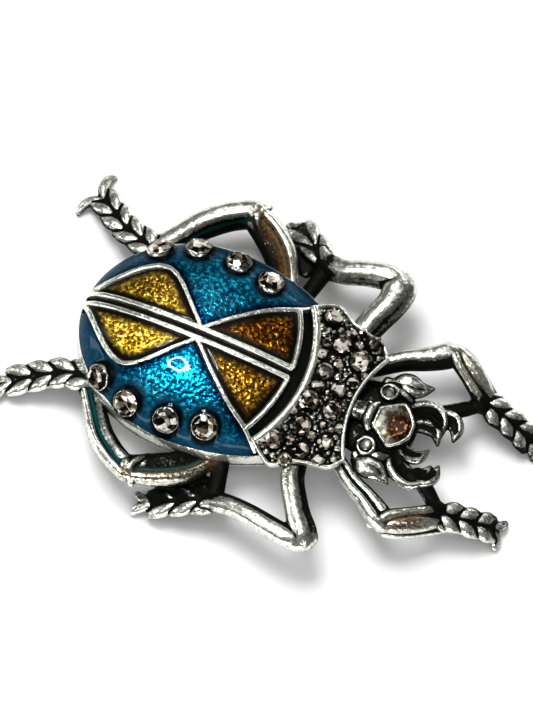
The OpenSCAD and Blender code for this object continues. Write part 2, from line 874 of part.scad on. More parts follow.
// A raised V across a knee, from two bars that meet on its top
module clasp(p, q) {
    bar = limb_w * 0.3;
    for (side = [-1, 1])
        hull() {
            translate(p)
                rotate([0, 0, q])
                    translate([bar * 0.75, 0, limb_w * 0.22])
                        cube(bar, center = true);
            translate(p)
                rotate([0, 0, q])
                    translate([-bar * 0.6, side * limb_w * 0.46, -limb_w * 0.12])
                        cube(bar, center = true);
        }
}

front_end = leg_end(front_hip, front_leg, front_tibia);
mid_end = [mid_hip.x - 1.1 * mid_leg, mid_hip.y + 0.9 * mid_leg];
hind_end = leg_end(hind_hip, hind_leg, hind_tibia);
module legs() {
    mirrored() {
        limb(leg_rows(front_hip, front_leg, front_femur));
        limb(leg_rows(front_hip, front_leg, front_tibia));
        limb(leg_rows(mid_hip, mid_leg, mid_femur));
        limb(leg_rows(mid_hip, mid_leg, mid_tibia));
        limb(leg_rows(hind_hip, hind_leg, hind_femur));
        limb(leg_rows(hind_hip, hind_leg, hind_tibia));
        // Post from the middle leg to the rim
        limb([
            [mid_hip.x - 1.15 * mid_leg, half_w * 0.86, stand_h + 0.6, 0.7, 0.5],
            [mid_hip.x - 1.02 * mid_leg, mid_hip.y + 0.82 * mid_leg, knee_h * 0.7, 0.8, 0.5]
        ], 6);
        // Link from the front foot to the outer jaw
        limb([
            [plate_rear + plate_l * 0.8 + jaw_l * 0.75, plate_w * 0.84, rim_z + 0.4, 0.4, 0.4],
            [front_end.x - 0.9, front_end.y - 0.3, rim_z, 0.5, 0.4]
        ], 6);
        foot(foot_line(front_end, front_foot), 3, 1.7);
        clasp([front_hip.x + front_leg * 0.46, front_hip.y + front_leg * 0.28, knee_h * 0.99], 30);
        clasp([hind_hip.x - hind_leg * 0.62, hind_hip.y + hind_leg * 0.6, knee_h * 0.98], 175);
    }
    foot(foot_line(mid_end, mid_foot_left), 2, 1.4);
    mirror([0, 1, 0])
        foot(foot_line(mid_end, mid_foot_right), 3, 1.6);
    foot(foot_line(hind_end, hind_foot_left), 4, 2.6);
    mirror([0, 1, 0])
        foot(foot_line(hind_end, hind_foot_right), 4, 2.6);
}

// Seats for the pin's hinge block and catch, inside the hollow back
hinge_x = collar_rear + collar_l * 0.3;
catch_x = -tail_l + inside_t + hinge_w * 0.45;
module pin_seats() {
    hinge_top = rim_z + dome_h * 0.5;
    catch_top = rim_z + dome_h * 0.3;
    translate([hinge_x - hinge_w / 2, -hinge_w / 2, stand_h])
        cube([hinge_w, hinge_w, hinge_top - stand_h]);
    translate([catch_x - hinge_w / 2, -hinge_w / 2, stand_h])
        cube([hinge_w, hinge_w, catch_top - stand_h]);
}

// Pin: hinge block, stem and closed catch as one piece
module pin_back() {
    low = stem_z - stem_d * 0.75;
    tall = stand_h - fit_gap - low;
    place()
        color("darkgray") {
            translate([hinge_x - hinge_w / 2, -hinge_w / 2, low])
                cube([hinge_w, hinge_w, tall]);
            translate([catch_x - hinge_w / 4, -hinge_w / 2, low])
                cube([hinge_w / 2, hinge_w, tall]);
            translate([catch_x - hinge_w * 0.6, 0, stem_z])
                rotate([0, 90, 0])
                    cylinder(h = hinge_x - catch_x + hinge_w * 0.6, d = stem_d, $fn = 32);
        }
}

module casting() {
    place()
        color("silver") {
            wing_shell();
            rim_band();
            cell_walls();
            for (i = [0 : len(stone_places) - 1])
                mirrored()
                    at_stone(i)
                        stone_cup();
            collar();
            head();
            for (side = [-1, 1])
                eye_cup(side);
            mirrored() {
                feelers();
                jaws();
            }
            legs();
            pin_seats();
        }
}

// The middle of the brooch over its claws comes to the origin.
module place() {
    translate([foot_l * 0.234 - (front_end.x + hind_end.x) / 2, -foot_l * 0.029, 0])
        children();
}

casting();
enamel_blue_left();
enamel_blue_right();
enamel_rear_left();
enamel_rear_right();
enamel_front_left();
enamel_front_right();
enamel_head();
enamel_eye_left();
enamel_eye_right();
stone_left_1();
stone_left_2();
stone_left_3();
stone_left_4();
stone_right_1();
stone_right_2();
stone_right_3();
stone_right_4();
pave_stones();
pin_back();
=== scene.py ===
# %% [markdown]
# # A beetle brooch
# This lesson dresses a CAD model of a small cast brooch in its real metal,
# enamel and cut glass. The CAD gives the sizes and the places. Every piece made
# here lies where a CAD solid lies, so both can be used together.
#
# The casting of a real brooch is soft and full of small forms that a
# mechanical drawing leaves out. So the metal is modelled again in detail, and
# the plain CAD casting is hidden behind it.

# %% Load the CAD model
import bpy
import math
import numpy as np
from mathutils import Matrix, Vector


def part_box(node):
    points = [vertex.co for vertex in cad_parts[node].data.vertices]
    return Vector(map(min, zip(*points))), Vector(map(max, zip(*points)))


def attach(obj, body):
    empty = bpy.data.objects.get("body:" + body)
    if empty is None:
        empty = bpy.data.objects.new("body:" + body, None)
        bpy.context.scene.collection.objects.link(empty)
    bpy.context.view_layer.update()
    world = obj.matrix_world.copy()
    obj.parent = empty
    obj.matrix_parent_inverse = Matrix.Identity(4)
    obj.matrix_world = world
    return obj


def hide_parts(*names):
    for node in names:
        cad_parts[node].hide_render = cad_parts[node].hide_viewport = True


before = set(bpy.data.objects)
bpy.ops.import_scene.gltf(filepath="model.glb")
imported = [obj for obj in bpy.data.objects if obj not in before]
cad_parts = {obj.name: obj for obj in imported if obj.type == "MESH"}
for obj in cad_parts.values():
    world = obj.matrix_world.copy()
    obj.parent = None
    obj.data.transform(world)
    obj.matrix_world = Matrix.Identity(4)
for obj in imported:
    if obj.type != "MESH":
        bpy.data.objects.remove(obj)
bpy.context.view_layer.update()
print("CAD nodes:", len(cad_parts))

# %% [markdown]
# ## Millimetres on the workbench
# The brooch is only 53 mm long. It is easier to think and to work in
# millimetres, with the widest place of the wing case at x = 0. Each finished
# piece is then shrunk to metres and moved to where the CAD has it, and that
# move is applied, so that the object itself sits at the origin.

# %% The workbench and the way back
BENCH = Vector((-7.6685, -0.232, 0.0))


def only(piece):
    if bpy.context.object and bpy.context.object.mode != "OBJECT":
        bpy.ops.object.mode_set(mode="OBJECT")
    bpy.ops.object.select_all(action="DESELECT")
    piece.select_set(True)
    bpy.context.view_layer.objects.active = piece


def settle(piece):
    only(piece)
    piece.scale = (0.001, 0.001, 0.001)
    piece.location = BENCH * 0.001
    bpy.ops.object.transform_apply(location=True, rotation=True, scale=True)
    return piece


def on_bench(name):
    low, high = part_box(name)
    return np.array(low) * 1000 - np.array(BENCH), np.array(high) * 1000 - np.array(BENCH)


print("wing case and legs on the bench:", [v.round(1).tolist() for v in on_bench("casting")])

# %% [markdown]
# ## Curves, sheets and limbs
# Nearly all forms of this beetle are long and bent: legs, jaws, cell walls. A
# modeller would lay a grid along a path and wrap it round. The helpers below do
# just that. A table of a few stations is turned into a smooth curve, a grid
# primitive gets one column for each point round the section, and its last
# column is merged with its first.

# %% Smooth rows and unit vectors
def smooth(rows, steps):
    rows = np.asarray(rows, float)
    last = len(rows) - 1
    out = []
    for i in range(last):
        a, b, c, d = rows[max(i - 1, 0)], rows[i], rows[i + 1], rows[min(i + 2, last)]
        for k in range(steps):
            t = k / steps
            out.append(0.5 * (2 * b + (c - a) * t + (2 * a - 5 * b + 4 * c - d) * t ** 2
                              + (3 * b - a - 3 * c + d) * t ** 3))
    out.append(rows[last])
    return np.array(out)


def unit(v):
    v = np.asarray(v, float)
    return v / np.maximum(np.linalg.norm(v, axis=-1, keepdims=True), 1e-9)


def runs_of(path):
    path = np.asarray(path, float)
    ahead = np.vstack([path[1:], path[-1:]])
    behind = np.vstack([path[:1], path[:-1]])
    return unit(ahead - behind)


# %% Work on a whole mesh in edit mode
def edit(piece, *steps):
    only(piece)
    bpy.ops.object.mode_set(mode="EDIT")
    for operator, settings in steps:
        bpy.ops.mesh.select_all(action="SELECT")
        operator(**settings)
    bpy.ops.object.mode_set(mode="OBJECT")


# %% A grid that is laid over rows of points
def sheet(name, rows, closed=False):
    rows = np.asarray(rows, float)
    m, n = rows.shape[:2]
    bpy.ops.object.select_all(action="DESELECT")
    bpy.ops.mesh.primitive_grid_add(x_subdivisions=n - 1, y_subdivisions=m - 1, size=1)
    piece = bpy.context.object
    piece.name = name
    piece.data.vertices.foreach_set("co", rows.reshape(-1))
    piece.data.update()
    if closed:
        close_up(piece)
    return piece


def close_up(piece):
    edit(piece, (bpy.ops.mesh.remove_doubles, {"threshold": 0.0001}), (bpy.ops.mesh.fill_holes, {"sides": 0}),
         (bpy.ops.mesh.normals_make_consistent, {"inside": False}))


# %% [markdown]
# A limb is a row of stations: place, half width, half height and how deep the
# top is hollowed. Its section is a list of grooves: where each one lies across
# the limb, how wide it is, and how deep. An empty list makes a plain round bar.
# Both ends are rounded by a few more stations that shrink along a quarter turn.

# %% Rounded ends
END_TURNS = (30, 58, 78, 89)


def rounded(rows):
    run = runs_of(rows[:, :3])
    ends = []
    for end, sign in ((0, -1), (-1, 1)):
        place, (wide, tall, dent) = rows[end, :3], rows[end, 3:]
        reach = min(wide, tall)
        stations = []
        for q in END_TURNS:
            c, s = math.cos(math.radians(q)), math.sin(math.radians(q))
            stations.append(np.r_[place + run[end] * sign * reach * s, wide * c, tall * c, dent])
        ends.append(np.array(stations[::sign]))
    return np.vstack([ends[0], rows, ends[1]])


print("stations that round one end:", len(END_TURNS))

# %% A limb
PLAIN = []
HOLLOW = [(0.0, 0.42, 1.0)]
GROOVE = 1.3


def limb(name, rows, section, steps=5, sides=26, lean=0.0):
    rows = rounded(smooth(rows, steps))
    place, wide, tall, dent = rows[:, :3], rows[:, 3], rows[:, 4], rows[:, 5]
    run = runs_of(place)
    side = unit(np.cross([0, 0, 1], run))
    up = np.cross(run, side)
    c, s = math.cos(math.radians(lean)), math.sin(math.radians(lean))
    side, up = side * c + up * s, up * c - side * s
    q = np.linspace(0, 2 * np.pi, sides + 1)
    c, s = np.cos(q), np.sin(q)
    lowered = np.zeros_like(c)
    for centre, width, depth in section:
        lowered += depth * np.exp(-((c - centre) / width) ** 2) * (s > 0) * np.clip(s * 3, 0, 1)
    ring = (place[:, None, :] + side[:, None, :] * (wide[:, None] * c)[:, :, None]
            + up[:, None, :] * (tall[:, None] * (s - GROOVE * dent[:, None] * lowered))[:, :, None])
    return sheet(name, ring, closed=True)


print("a limb has rounded ends and grooves where its section says so")

# %% [markdown]
# ## Fusing a casting
# A cast piece has no seams: where a leg meets the body, the metal flows over.
# So the limbs of one part are joined, remeshed at about a tenth of a millimetre
# and smoothed a little, as the wax of the model was.

# %% Join and fuse
def joined(name, pieces):
    only(pieces[0])
    for piece in pieces:
        piece.select_set(True)
    bpy.ops.object.join()
    whole = bpy.context.object
    whole.name = name
    return whole


def fused(whole, voxel):
    only(whole)
    remesh = whole.modifiers.new("fuse", "REMESH")
    remesh.mode = "VOXEL"
    remesh.voxel_size = voxel
    bpy.ops.object.modifier_apply(modifier=remesh.name)
    soften = whole.modifiers.new("soften", "SMOOTH")
    soften.factor = 0.5
    soften.iterations = 2
    bpy.ops.object.modifier_apply(modifier=soften.name)
    return whole


# %% [markdown]
# The patina of an old-looking cast follows its shape, so each point keeps a few
# numbers that the finish reads. "cavity" says how hollow the metal is there: the
# mesh is smoothed in thought, and a point that would move outwards lies in a
# hollow. It is made stronger along the lines in sharp, where the small forms
# of the feet and the head are crisp. Another number is painted shade: it says
# how far the surface turns away from above and outside, and it is lifted along
# given lines, where that side is painted lighter. "pool" says where the metal is
# painted black: patina in floors and seams, and painted shade on the inner bands
# of the legs and under the head. Each line has a radius and a strength.

# %% Numbers on points
def points_of(piece):
    co = np.zeros(len(piece.data.vertices) * 3)
    piece.data.vertices.foreach_get("co", co)
    return co.reshape(-1, 3)


def normals_of(piece):
    normal = np.zeros(len(piece.data.vertices) * 3)
    piece.data.vertices.foreach_get("normal", normal)
    return normal.reshape(-1, 3)


def keep_number(piece, name, values):
    field = piece.data.attributes.get(name) or piece.data.attributes.new(name, "FLOAT", "POINT")
    field.data.foreach_set("value", np.asarray(values, np.float32))


def keep_one(piece, name, value):
    keep_number(piece, name, np.full(len(piece.data.vertices), value))


def lines_near(co, lines):
    total = np.zeros(len(co))
    for line, radius, strength in lines:
        near = np.full(len(co), 1e9)
        for p in smooth(line, 6):
            near = np.minimum(near, ((co - p) ** 2).sum(1))
        total = np.maximum(total, strength * np.exp(-near / radius ** 2))
    return total


# %% Measure hollows
FINE_HOLLOW, BROAD_HOLLOW, CRISPER = 0.025, 0.12, 0.28


def mark_hollows(piece, fine=5, broad=40, pools=(), sharp=(), shade_lifted=()):
    co, normal = points_of(piece), normals_of(piece)
    ends = np.zeros(len(piece.data.edges) * 2, np.int64)
    piece.data.edges.foreach_get("vertices", ends)
    a, b = ends[0::2], ends[1::2]
    count = len(co)
    weight = 1 / np.maximum(np.bincount(a, minlength=count) + np.bincount(b, minlength=count), 1)
    now = co.copy()
    out = np.zeros(count)
    for k in range(broad):
        total = np.stack([np.bincount(a, now[b, i], count) + np.bincount(b, now[a, i], count)
                          for i in range(3)], 1)
        now = 0.5 * now + 0.5 * total * weight[:, None]
        if k + 1 == fine:
            out += ((now - co) * normal).sum(1) / FINE_HOLLOW
    out += ((now - co) * normal).sum(1) / BROAD_HOLLOW
    crisp = lines_near(co, sharp)
    keep_number(piece, "cavity", np.clip(out * (1 + crisp) + CRISPER * crisp * (out > -0.5), -1, 1))
    # Painted shade: faces turned away from above and from the outside are darkened, less along the lines
    # where that shade is lifted.
    outward = np.clip(co[:, 1] / 3, -1, 1) * 0.6
    turned_away = np.clip((0.62 - normal[:, 1] * outward - normal[:, 2] * 0.8) / 0.7, 0, 1)
    keep_number(piece, "steep", turned_away * (1 - lines_near(co, shade_lifted)))
    keep_number(piece, "pool", lines_near(co, pools))


# %% Hand a finished piece to the frame
def hand_over(piece, slot, *nodes, angle=40):
    settle(piece)
    only(piece)
    bpy.ops.object.shade_smooth_by_angle(angle=math.radians(angle))
    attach(piece, "root")
    if nodes:
        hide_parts(*nodes)
    print(f"{piece.name}: {sum(len(f.vertices) - 2 for f in piece.data.polygons)} triangles")
    return piece


# %% [markdown]
# ## The camera
# The photograph was taken from 72 degrees above the table, with a long lens,
# from the beetle's right side and a little round to the head. The camera goes
# in first, so that each piece can be judged from there.

# %% Camera at the photograph's angle
TURN, LIFT, AWAY = math.radians(23.56), math.radians(71.86), 0.260
SENSOR, FOCAL_PIXELS, FRAME_PIXELS = 36, 2605, 711
target = Vector((-0.002171, 0.002818, 0.0))
look = Vector((-math.sin(TURN) * math.cos(LIFT), math.cos(TURN) * math.cos(LIFT), -math.sin(LIFT)))
lens = bpy.data.cameras.new("camera")
lens.sensor_width = SENSOR
lens.lens = SENSOR * FOCAL_PIXELS / FRAME_PIXELS
lens.clip_start = 0.01
lens.clip_end = 10
camera = bpy.data.objects.new("camera", lens)
bpy.context.scene.collection.objects.link(camera)
camera.location = target - look * AWAY
camera.rotation_euler = look.to_track_quat("-Z", "Y").to_euler()
bpy.context.scene.camera = camera
print("camera", [round(v, 4) for v in camera.location], "lens", round(lens.lens, 1))

# %% [markdown]
# ## The dome of the wing case
# The wing case is half an egg, longer in front than behind, and all of its
# layers follow one formula: a place on the skin, and how far below the skin it
# lies. Walls, enamel and stones are all laid on that surface.

# %% The surface of the wing case
HALF_W, TAIL_L, NOSE_L = 10.7, 12.694, 15.994
RIM_Z, DOME_H, DOME_POWER, STAND_Z, RIM_H = 3.405, 5.2, 2.2, 2.8, 1.1
WING_L, WING_FRONT, FRONT_R = 22.0, 9.306, 13.0
CELL_D, INSIDE_D = 0.5, 1.4


def dome(x, y, depth=0.0):
    x, y, depth = np.broadcast_arrays(np.asarray(x, float), np.asarray(y, float), np.asarray(depth, float))
    span = np.where(x > 0, NOSE_L, TAIL_L)
    s = np.minimum(np.hypot(x / span, y / HALF_W), 1)
    return np.stack([x * (span - depth) / span, y * (HALF_W - depth) / HALF_W,
                     RIM_Z + (DOME_H - depth) * np.sqrt(1 - s ** DOME_POWER)], -1)


def dome_normal(x, y):
    e = 0.02
    gx = (dome(x + e, y)[..., 2] - dome(x - e, y)[..., 2]) / (2 * e)
    gy = (dome(x, y + e)[..., 2] - dome(x, y - e)[..., 2]) / (2 * e)
    return unit(np.stack([-gx, -gy, np.ones_like(gx)], -1))


# %% The curves of the cell walls
RIDGE_W, SUTURE_Y = 0.47, 0.525
PETAL = [(-0.57, 0.065), (-0.52, 0.147), (-0.447, 0.292), (-0.375, 0.42), (-0.312, 0.49),
         (-0.262, 0.497), (-0.205, 0.44), (-0.147, 0.33), (-0.09, 0.21), (-0.035, 0.1), (-0.016, 0.058)]
FRONT = [(-0.01, 0.058), (0.012, 0.1), (0.118, 0.298), (0.227, 0.477), (0.334, 0.613), (0.412, 0.748)]
ARC_END = 0.613
share = np.array([WING_L, HALF_W])
petal_path = smooth(np.array(PETAL) * share, 8)
front_path = smooth(np.array(FRONT) * share, 8)
arc_y = ARC_END * HALF_W


def front_arc(y, r=FRONT_R):
    return WING_FRONT - FRONT_R + np.sqrt(r * r - np.asarray(y, float) ** 2)


suture_path = np.stack([np.linspace(-TAIL_L * 0.985, WING_FRONT, 80), np.full(80, SUTURE_Y)], 1)
arc_path = np.stack([front_arc(np.linspace(SUTURE_Y, arc_y, 40)), np.linspace(SUTURE_Y, arc_y, 40)], 1)
print("cell walls:", len(petal_path), len(front_path), len(suture_path), len(arc_path), "points")

# %% [markdown]
# ## Cell walls
# In cloisonné-like work the enamel lies in cells between raised walls. Here
# the walls are cast: soft bars with a rounded top, polished bright. Each one is
# a grid with a half-round section, swept along its curve on the dome. Two of
# them run side by side down the middle, with a black groove between.

# %% Sweep a wall along a curve on the dome
WOBBLE = 0.06


def wall(name, path, wide, top, seed):
    path = np.asarray(path, float)
    rng = np.random.default_rng(seed)
    knots = np.arange(0, len(path), 3)
    bumps = np.interp(np.arange(len(path)), knots, rng.normal(0, 1, len(knots)))
    run = runs_of(path)
    side = np.stack([-run[:, 1], run[:, 0]], 1)
    q = np.linspace(-1, 1, 15)
    across = np.r_[np.sin(q * np.pi / 2) * wide / 2, wide / 2, -wide / 2, -wide / 2]
    under = CELL_D + 0.15
    depth = np.r_[under + (top - under) * (1 - np.abs(q) ** 4.0), under + 0.2, under + 0.2, under]
    rows = []
    for i, p in enumerate(path):
        w = 1 + WOBBLE * bumps[i]
        rows.append(dome(p[0] + side[i, 0] * across * w, p[1] + side[i, 1] * across * w, depth))
    return sheet(name, np.array(rows), closed=True)


def mirrored(path):
    return np.asarray(path, float) * np.array([1, -1])


SIDES = (("left", 1), ("right", -1))
WALLS = [("suture", suture_path, 0.6, -0.2), ("petal", petal_path, 0.5, -0.14),
         ("front", front_path, 0.5, -0.14), ("arc", arc_path, 0.5, -0.16)]
walls = []
for tag, sign in SIDES:
    for kind, path, wide, top in WALLS:
        laid = path if sign > 0 else mirrored(path)[::-1]
        walls.append(wall(f"wall_{kind}_{tag}", laid, wide, top, len(walls) + 3))
cell_walls = joined("cell_walls", walls)
print("walls joined:", len(cell_walls.data.vertices), "points")

# %% [markdown]
# ## Shell and rim
# Under the enamel lies a hollow shell, and all round it runs a bright rim. Its
# section is drawn once, from the crown outwards, round the rim and back along
# the inside, and a grid carries that section once round the egg shape.

# %% Shell and rim as one wrapped section
def egg(q, depth):
    c, s = np.cos(q), np.sin(q)
    span = np.where(c > 0, NOSE_L, TAIL_L) - depth
    return np.stack([c * span, s * (HALF_W - depth)], -1)


def rim_width(q):
    away = np.abs(np.degrees(np.arctan2(np.sin(q), np.cos(q))))
    return 0.1 + 0.36 * np.clip((172 - away) / 45, 0, 1) ** 0.8


RIM_LIP = [(1.15, 0.45), (1.02, 0.0), (0.8, -0.06), (0.5, -0.1), (0.2, -0.08), (0.0, 0.0), (-0.1, 0.16)]
RIM_TOP = STAND_Z + RIM_H
RIM_FOOT = [(-0.04, RIM_TOP - 0.75), (0.03, STAND_Z + 0.25), (0.16, STAND_Z + 0.05), (0.4, STAND_Z),
            (1.2, STAND_Z), (1.5, STAND_Z + 0.15), (1.55, STAND_Z + 0.5), (1.5, RIM_TOP - 0.2)]


def crown_row(q, s, depth):
    height = RIM_Z + (DOME_H - depth) * math.sqrt(1 - s ** DOME_POWER)
    return np.c_[egg(q, depth) * s, np.full(len(q), height)]


def shell_rows(turns=160):
    q = np.linspace(0, 2 * np.pi, turns + 1)
    band = rim_width(q)
    rows = [crown_row(q, s, CELL_D) for s in np.sin(np.radians(np.linspace(1, 84, 26)))]
    for share_in, low in RIM_LIP:
        depth = band * share_in
        s = 1 - np.clip(depth, 0, 1) / HALF_W
        rows.append(np.c_[egg(q, depth), RIM_Z + DOME_H * np.sqrt(1 - s ** DOME_POWER) - low * (0.3 + band)])
    rows += [np.c_[egg(q, depth), np.full(len(q), z)] for depth, z in RIM_FOOT]
    rows += [crown_row(q, s, INSIDE_D) for s in np.sin(np.radians(np.linspace(80, 1, 14)))]
    return np.array(rows)


# %% [markdown]
# Two square blocks inside the shell carry the pin.

# %% Shell and its two seats
SEATS, SEAT_W = [(12.2, 6.0), (-9.94, 4.95)], 3
shell = sheet("shell", shell_rows(), closed=True)
seats = []
for x, top in SEATS:
    bpy.ops.object.select_all(action="DESELECT")
    bpy.ops.mesh.primitive_cube_add(size=1, location=(x, 0, (STAND_Z + top) / 2),
                                    scale=(SEAT_W, SEAT_W, top - STAND_Z))
    seats.append(bpy.context.object)
    edit(seats[-1], (bpy.ops.mesh.bevel, {"offset": 0.2, "segments": 3}))
shell = joined("wing_case", [shell] + seats)
print("shell:", len(shell.data.vertices), "points")

# %% [markdown]
# ## Enamel
# Each fill is a thin slab of glass on hammered metal. Its colour changes near a
# wall, a cup and the rim, so every point keeps its distance to each of them.
# The surface sinks a little towards the walls, as fired enamel does, and climbs
# a little to the cups.

# %% Distances to walls, and slabs
STONES = [(-0.35, 0.67), (-0.189, 0.803), (0.005, 0.812), (0.173, 0.739)]
STONE_D = 2.45
STONE_SEATS = [(i, tag, sign, a * WING_L, sign * b * HALF_W) for i, (a, b) in enumerate(STONES)
               for tag, sign in SIDES]
stone_plan = np.array([seat[3:] for seat in STONE_SEATS])


def beside(path, d):
    run = runs_of(path)
    return path + np.stack([-run[:, 1], run[:, 0]], 1) * d


def even(path, count):
    path = np.asarray(path, float)
    length = np.r_[0, np.cumsum(np.linalg.norm(np.diff(path, axis=0), axis=1))]
    at = np.linspace(0, length[-1], count)
    return np.stack([np.interp(at, length, path[:, i]) for i in range(path.shape[1])], 1)


def gap_to(points, line):
    a, b = line[:-1], line[1:]
    ab = b - a
    t = np.clip(((points[:, None] - a) * ab).sum(-1) / np.maximum((ab ** 2).sum(-1), 1e-12), 0, 1)
    return np.linalg.norm(points[:, None] - a - t[..., None] * ab, axis=-1).min(1)


wall_lines = [line for _, path, _, _ in WALLS for line in (path, mirrored(path))]


def face_up(piece):
    if piece.data.polygons[len(piece.data.polygons) // 2].normal.z < 0:
        edit(piece, (bpy.ops.mesh.flip_normals, {}))


def slab(piece, thick):
    face_up(piece)
    only(piece)
    body = piece.modifiers.new("slab", "SOLIDIFY")
    body.thickness = thick
    body.offset = -1
    bpy.ops.object.modifier_apply(modifier=body.name)
    return piece


# %% A fill that knows what it is near
FILL_D = 0.34


def fill(name, plan):
    m, n = plan.shape[:2]
    flat = plan.reshape(-1, 2)
    gap = np.min([gap_to(flat, line) for line in wall_lines], axis=0) - RIDGE_W / 2
    span = np.where(flat[:, 0] > 0, NOSE_L, TAIL_L)
    rim = (1 - np.hypot(flat[:, 0] / span, flat[:, 1] / HALF_W)) * HALF_W
    cup = np.linalg.norm(flat[:, None] - stone_plan, axis=-1).min(1) - STONE_D / 2
    sink = 0.11 * np.exp(-np.clip(gap, 0, None) / 0.25) - 0.16 * np.exp(-np.clip(cup, 0, None) / 0.2)
    piece = sheet(name, dome(flat[:, 0], flat[:, 1], sink).reshape(m, n, 3))
    keep_number(piece, "wall", gap)
    keep_number(piece, "rim", rim)
    keep_number(piece, "cup", cup)
    return slab(piece, FILL_D)


# %% Plans of the cells
WALL_GAP = RIDGE_W / 2 - 0.02
CELL_SIDE = SUTURE_Y + WALL_GAP


def rear_plan(rows=90, columns=34):
    line = beside(petal_path, -WALL_GAP)
    line = even(line[line[:, 1] > CELL_SIDE + 0.03], rows)
    k = np.linspace(0, 1, columns)[None, :, None]
    foot = np.stack([line[:, 0], np.full(rows, CELL_SIDE)], 1)
    return line[:, None, :] * (1 - k) + foot[:, None, :] * k


def front_plan(rows=90, columns=40):
    arc_r = FRONT_R - WALL_GAP
    corner = ARC_END * HALF_W - 0.34
    line = beside(front_path, -WALL_GAP)
    line = line[(line[:, 1] > CELL_SIDE + 0.03) & (line[:, 1] < corner - 0.1)]
    line = even(np.vstack([line, [front_arc(corner, arc_r), corner]]), rows)
    nose = float(front_arc(CELL_SIDE, arc_r))
    i = np.linspace(0, 1, rows)[:, None]
    k = np.linspace(0, 1, columns)[None, :]
    side_x = line[:1, 0] + (nose - line[0, 0]) * i
    x = line[:, :1] + (side_x - line[:, :1]) * k
    y = line[:, 1:] + (CELL_SIDE - line[:, 1:]) * k
    chord = nose + (line[-1, 0] - nose) * (y - CELL_SIDE) / (corner - CELL_SIDE)
    return np.stack([x + (front_arc(y, arc_r) - chord) * i ** 2, y], -1)


def flank_plan(rows=190, columns=70):
    apex = np.array([-0.012, 0.105]) * share
    rear = beside(petal_path, WALL_GAP)
    front = beside(front_path, WALL_GAP)
    rear = rear[(rear[:, 0] > -TAIL_L * 0.93) & ((rear[:, 0] < -TAIL_L * 0.5) | (rear[:, 1] > apex[1] + 0.1))]
    front = front[front[:, 1] > apex[1] + 0.1]
    inner = even(np.vstack([rear, apex[None], front]), rows)
    q = np.radians(np.linspace(172, 56, rows))
    outer = egg(q, rim_width(q) * 0.95)
    k = np.linspace(0, 1, columns)[None, :, None] ** 1.2
    return outer[:, None, :] * (1 - k) + inner[:, None, :] * k


fills = {}
for tag, sign in SIDES:
    for kind, plan in (("rear", rear_plan()), ("front", front_plan()), ("blue", flank_plan())):
        fills[f"{kind}_{tag}"] = fill(f"fill_{kind}_{tag}", plan * np.array([1, sign]))
print("cells filled:", sorted(fills))

# %% [markdown]
# ## Cut stones
# Rhinestones have a flat table and rings of small facets. The points of a
# brilliant cut are laid out in rings, and the convex hull of those points is
# the stone: each facet comes out flat by itself. Each facet gets its own
# number, a painted reflection: in a foiled stone every facet mirrors another
# part of the room and shows a different grey. The steep facets get half of it,
# so they are painted darker.

# %% One brilliant
RINGS = [(8, 0.27, 0.2, 0), (8, 0.395, 0.14, 22.5), (16, 0.5, 0.02, 11.25), (16, 0.5, -0.03, 11.25),
         (8, 0.2, -0.26, 0)]
TABLE_REFLECTED_GREYS = [0.42, 0.55, 0.66]


def brilliant(name, d, seed):
    points = []
    for count, r, z, turn in RINGS:
        for k in range(count):
            q = math.radians(360 * k / count + turn)
            points.append((d * r * math.cos(q), d * r * math.sin(q), d * z))
    bpy.ops.object.select_all(action="DESELECT")
    bpy.ops.mesh.primitive_circle_add(vertices=len(points), radius=d / 2)
    stone = bpy.context.object
    stone.name = name
    stone.data.vertices.foreach_set("co", np.array(points).ravel())
    edit(stone, (bpy.ops.mesh.convex_hull, {}), (bpy.ops.mesh.normals_make_consistent, {"inside": False}))
    rng = np.random.default_rng(seed)
    # Painted reflection: a random grey for each facet, a listed grey on the table, and half on the steep
    # facets.
    reflected_grey = rng.random(len(stone.data.polygons))
    for face in stone.data.polygons:
        if face.normal.z > 0.98:
            reflected_grey[face.index] = rng.choice(TABLE_REFLECTED_GREYS)
        elif face.normal.z < 0.8:
            reflected_grey[face.index] *= 0.5
    field = stone.data.attributes.new("facet", "FLOAT", "FACE")
    field.data.foreach_set("value", reflected_grey.astype(np.float32))
    return stone


# %% Copies on a surface
def stand_on(piece, place, normal, turn):
    only(piece)
    n = Vector([float(v) for v in normal])
    piece.rotation_euler = (n.to_track_quat("Z", "X").to_matrix() @ Matrix.Rotation(turn, 3, "Z")).to_euler()
    piece.location = [float(v) for v in place]
    bpy.ops.object.transform_apply(location=True, rotation=True, scale=True)
    return piece


stones = {}
for i, tag, sign, x, y in STONE_SEATS:
    normal = dome_normal(x, y)
    stone = brilliant(f"cut_stone_{tag}_{i + 1}", STONE_D, 40 + 2 * i + sign)
    stones[f"{tag}_{i + 1}"] = stand_on(stone, dome(x, y) + normal * STONE_D * 0.2, normal, 0.3 + i)
print("stones on the wing case:", len(stones))

# %% [markdown]
# ## Stone cups
# Each stone sits in a thin cup with a scalloped lip. The lip is made from one
# closed section, swung round the stone. Its height waves eight times.

# %% A cup with a scalloped lip
CUP_SECTION = [(0.02, -0.55, 0), (0.1, -0.55, 0), (0.15, 0.0, 0), (0.14, 0.2, 0.02), (0.11, 0.34, 0.06),
               (0.06, 0.41, 0.09), (0.01, 0.42, 0.1), (-0.03, 0.39, 0.1), (-0.02, 0.3, 0.06), (0.0, 0.1, 0)]


def cup(name):
    q = np.linspace(0, 2 * np.pi, 65)
    scallop = 0.5 + 0.5 * np.cos(8 * q)
    r = STONE_D / 2
    rows = []
    for out, low, high in CUP_SECTION:
        rows.append(np.stack([(r + out) * np.cos(q), (r + out) * np.sin(q), low + high * scallop], 1))
    rows.append(rows[0])
    return sheet(name, np.array(rows), closed=True)


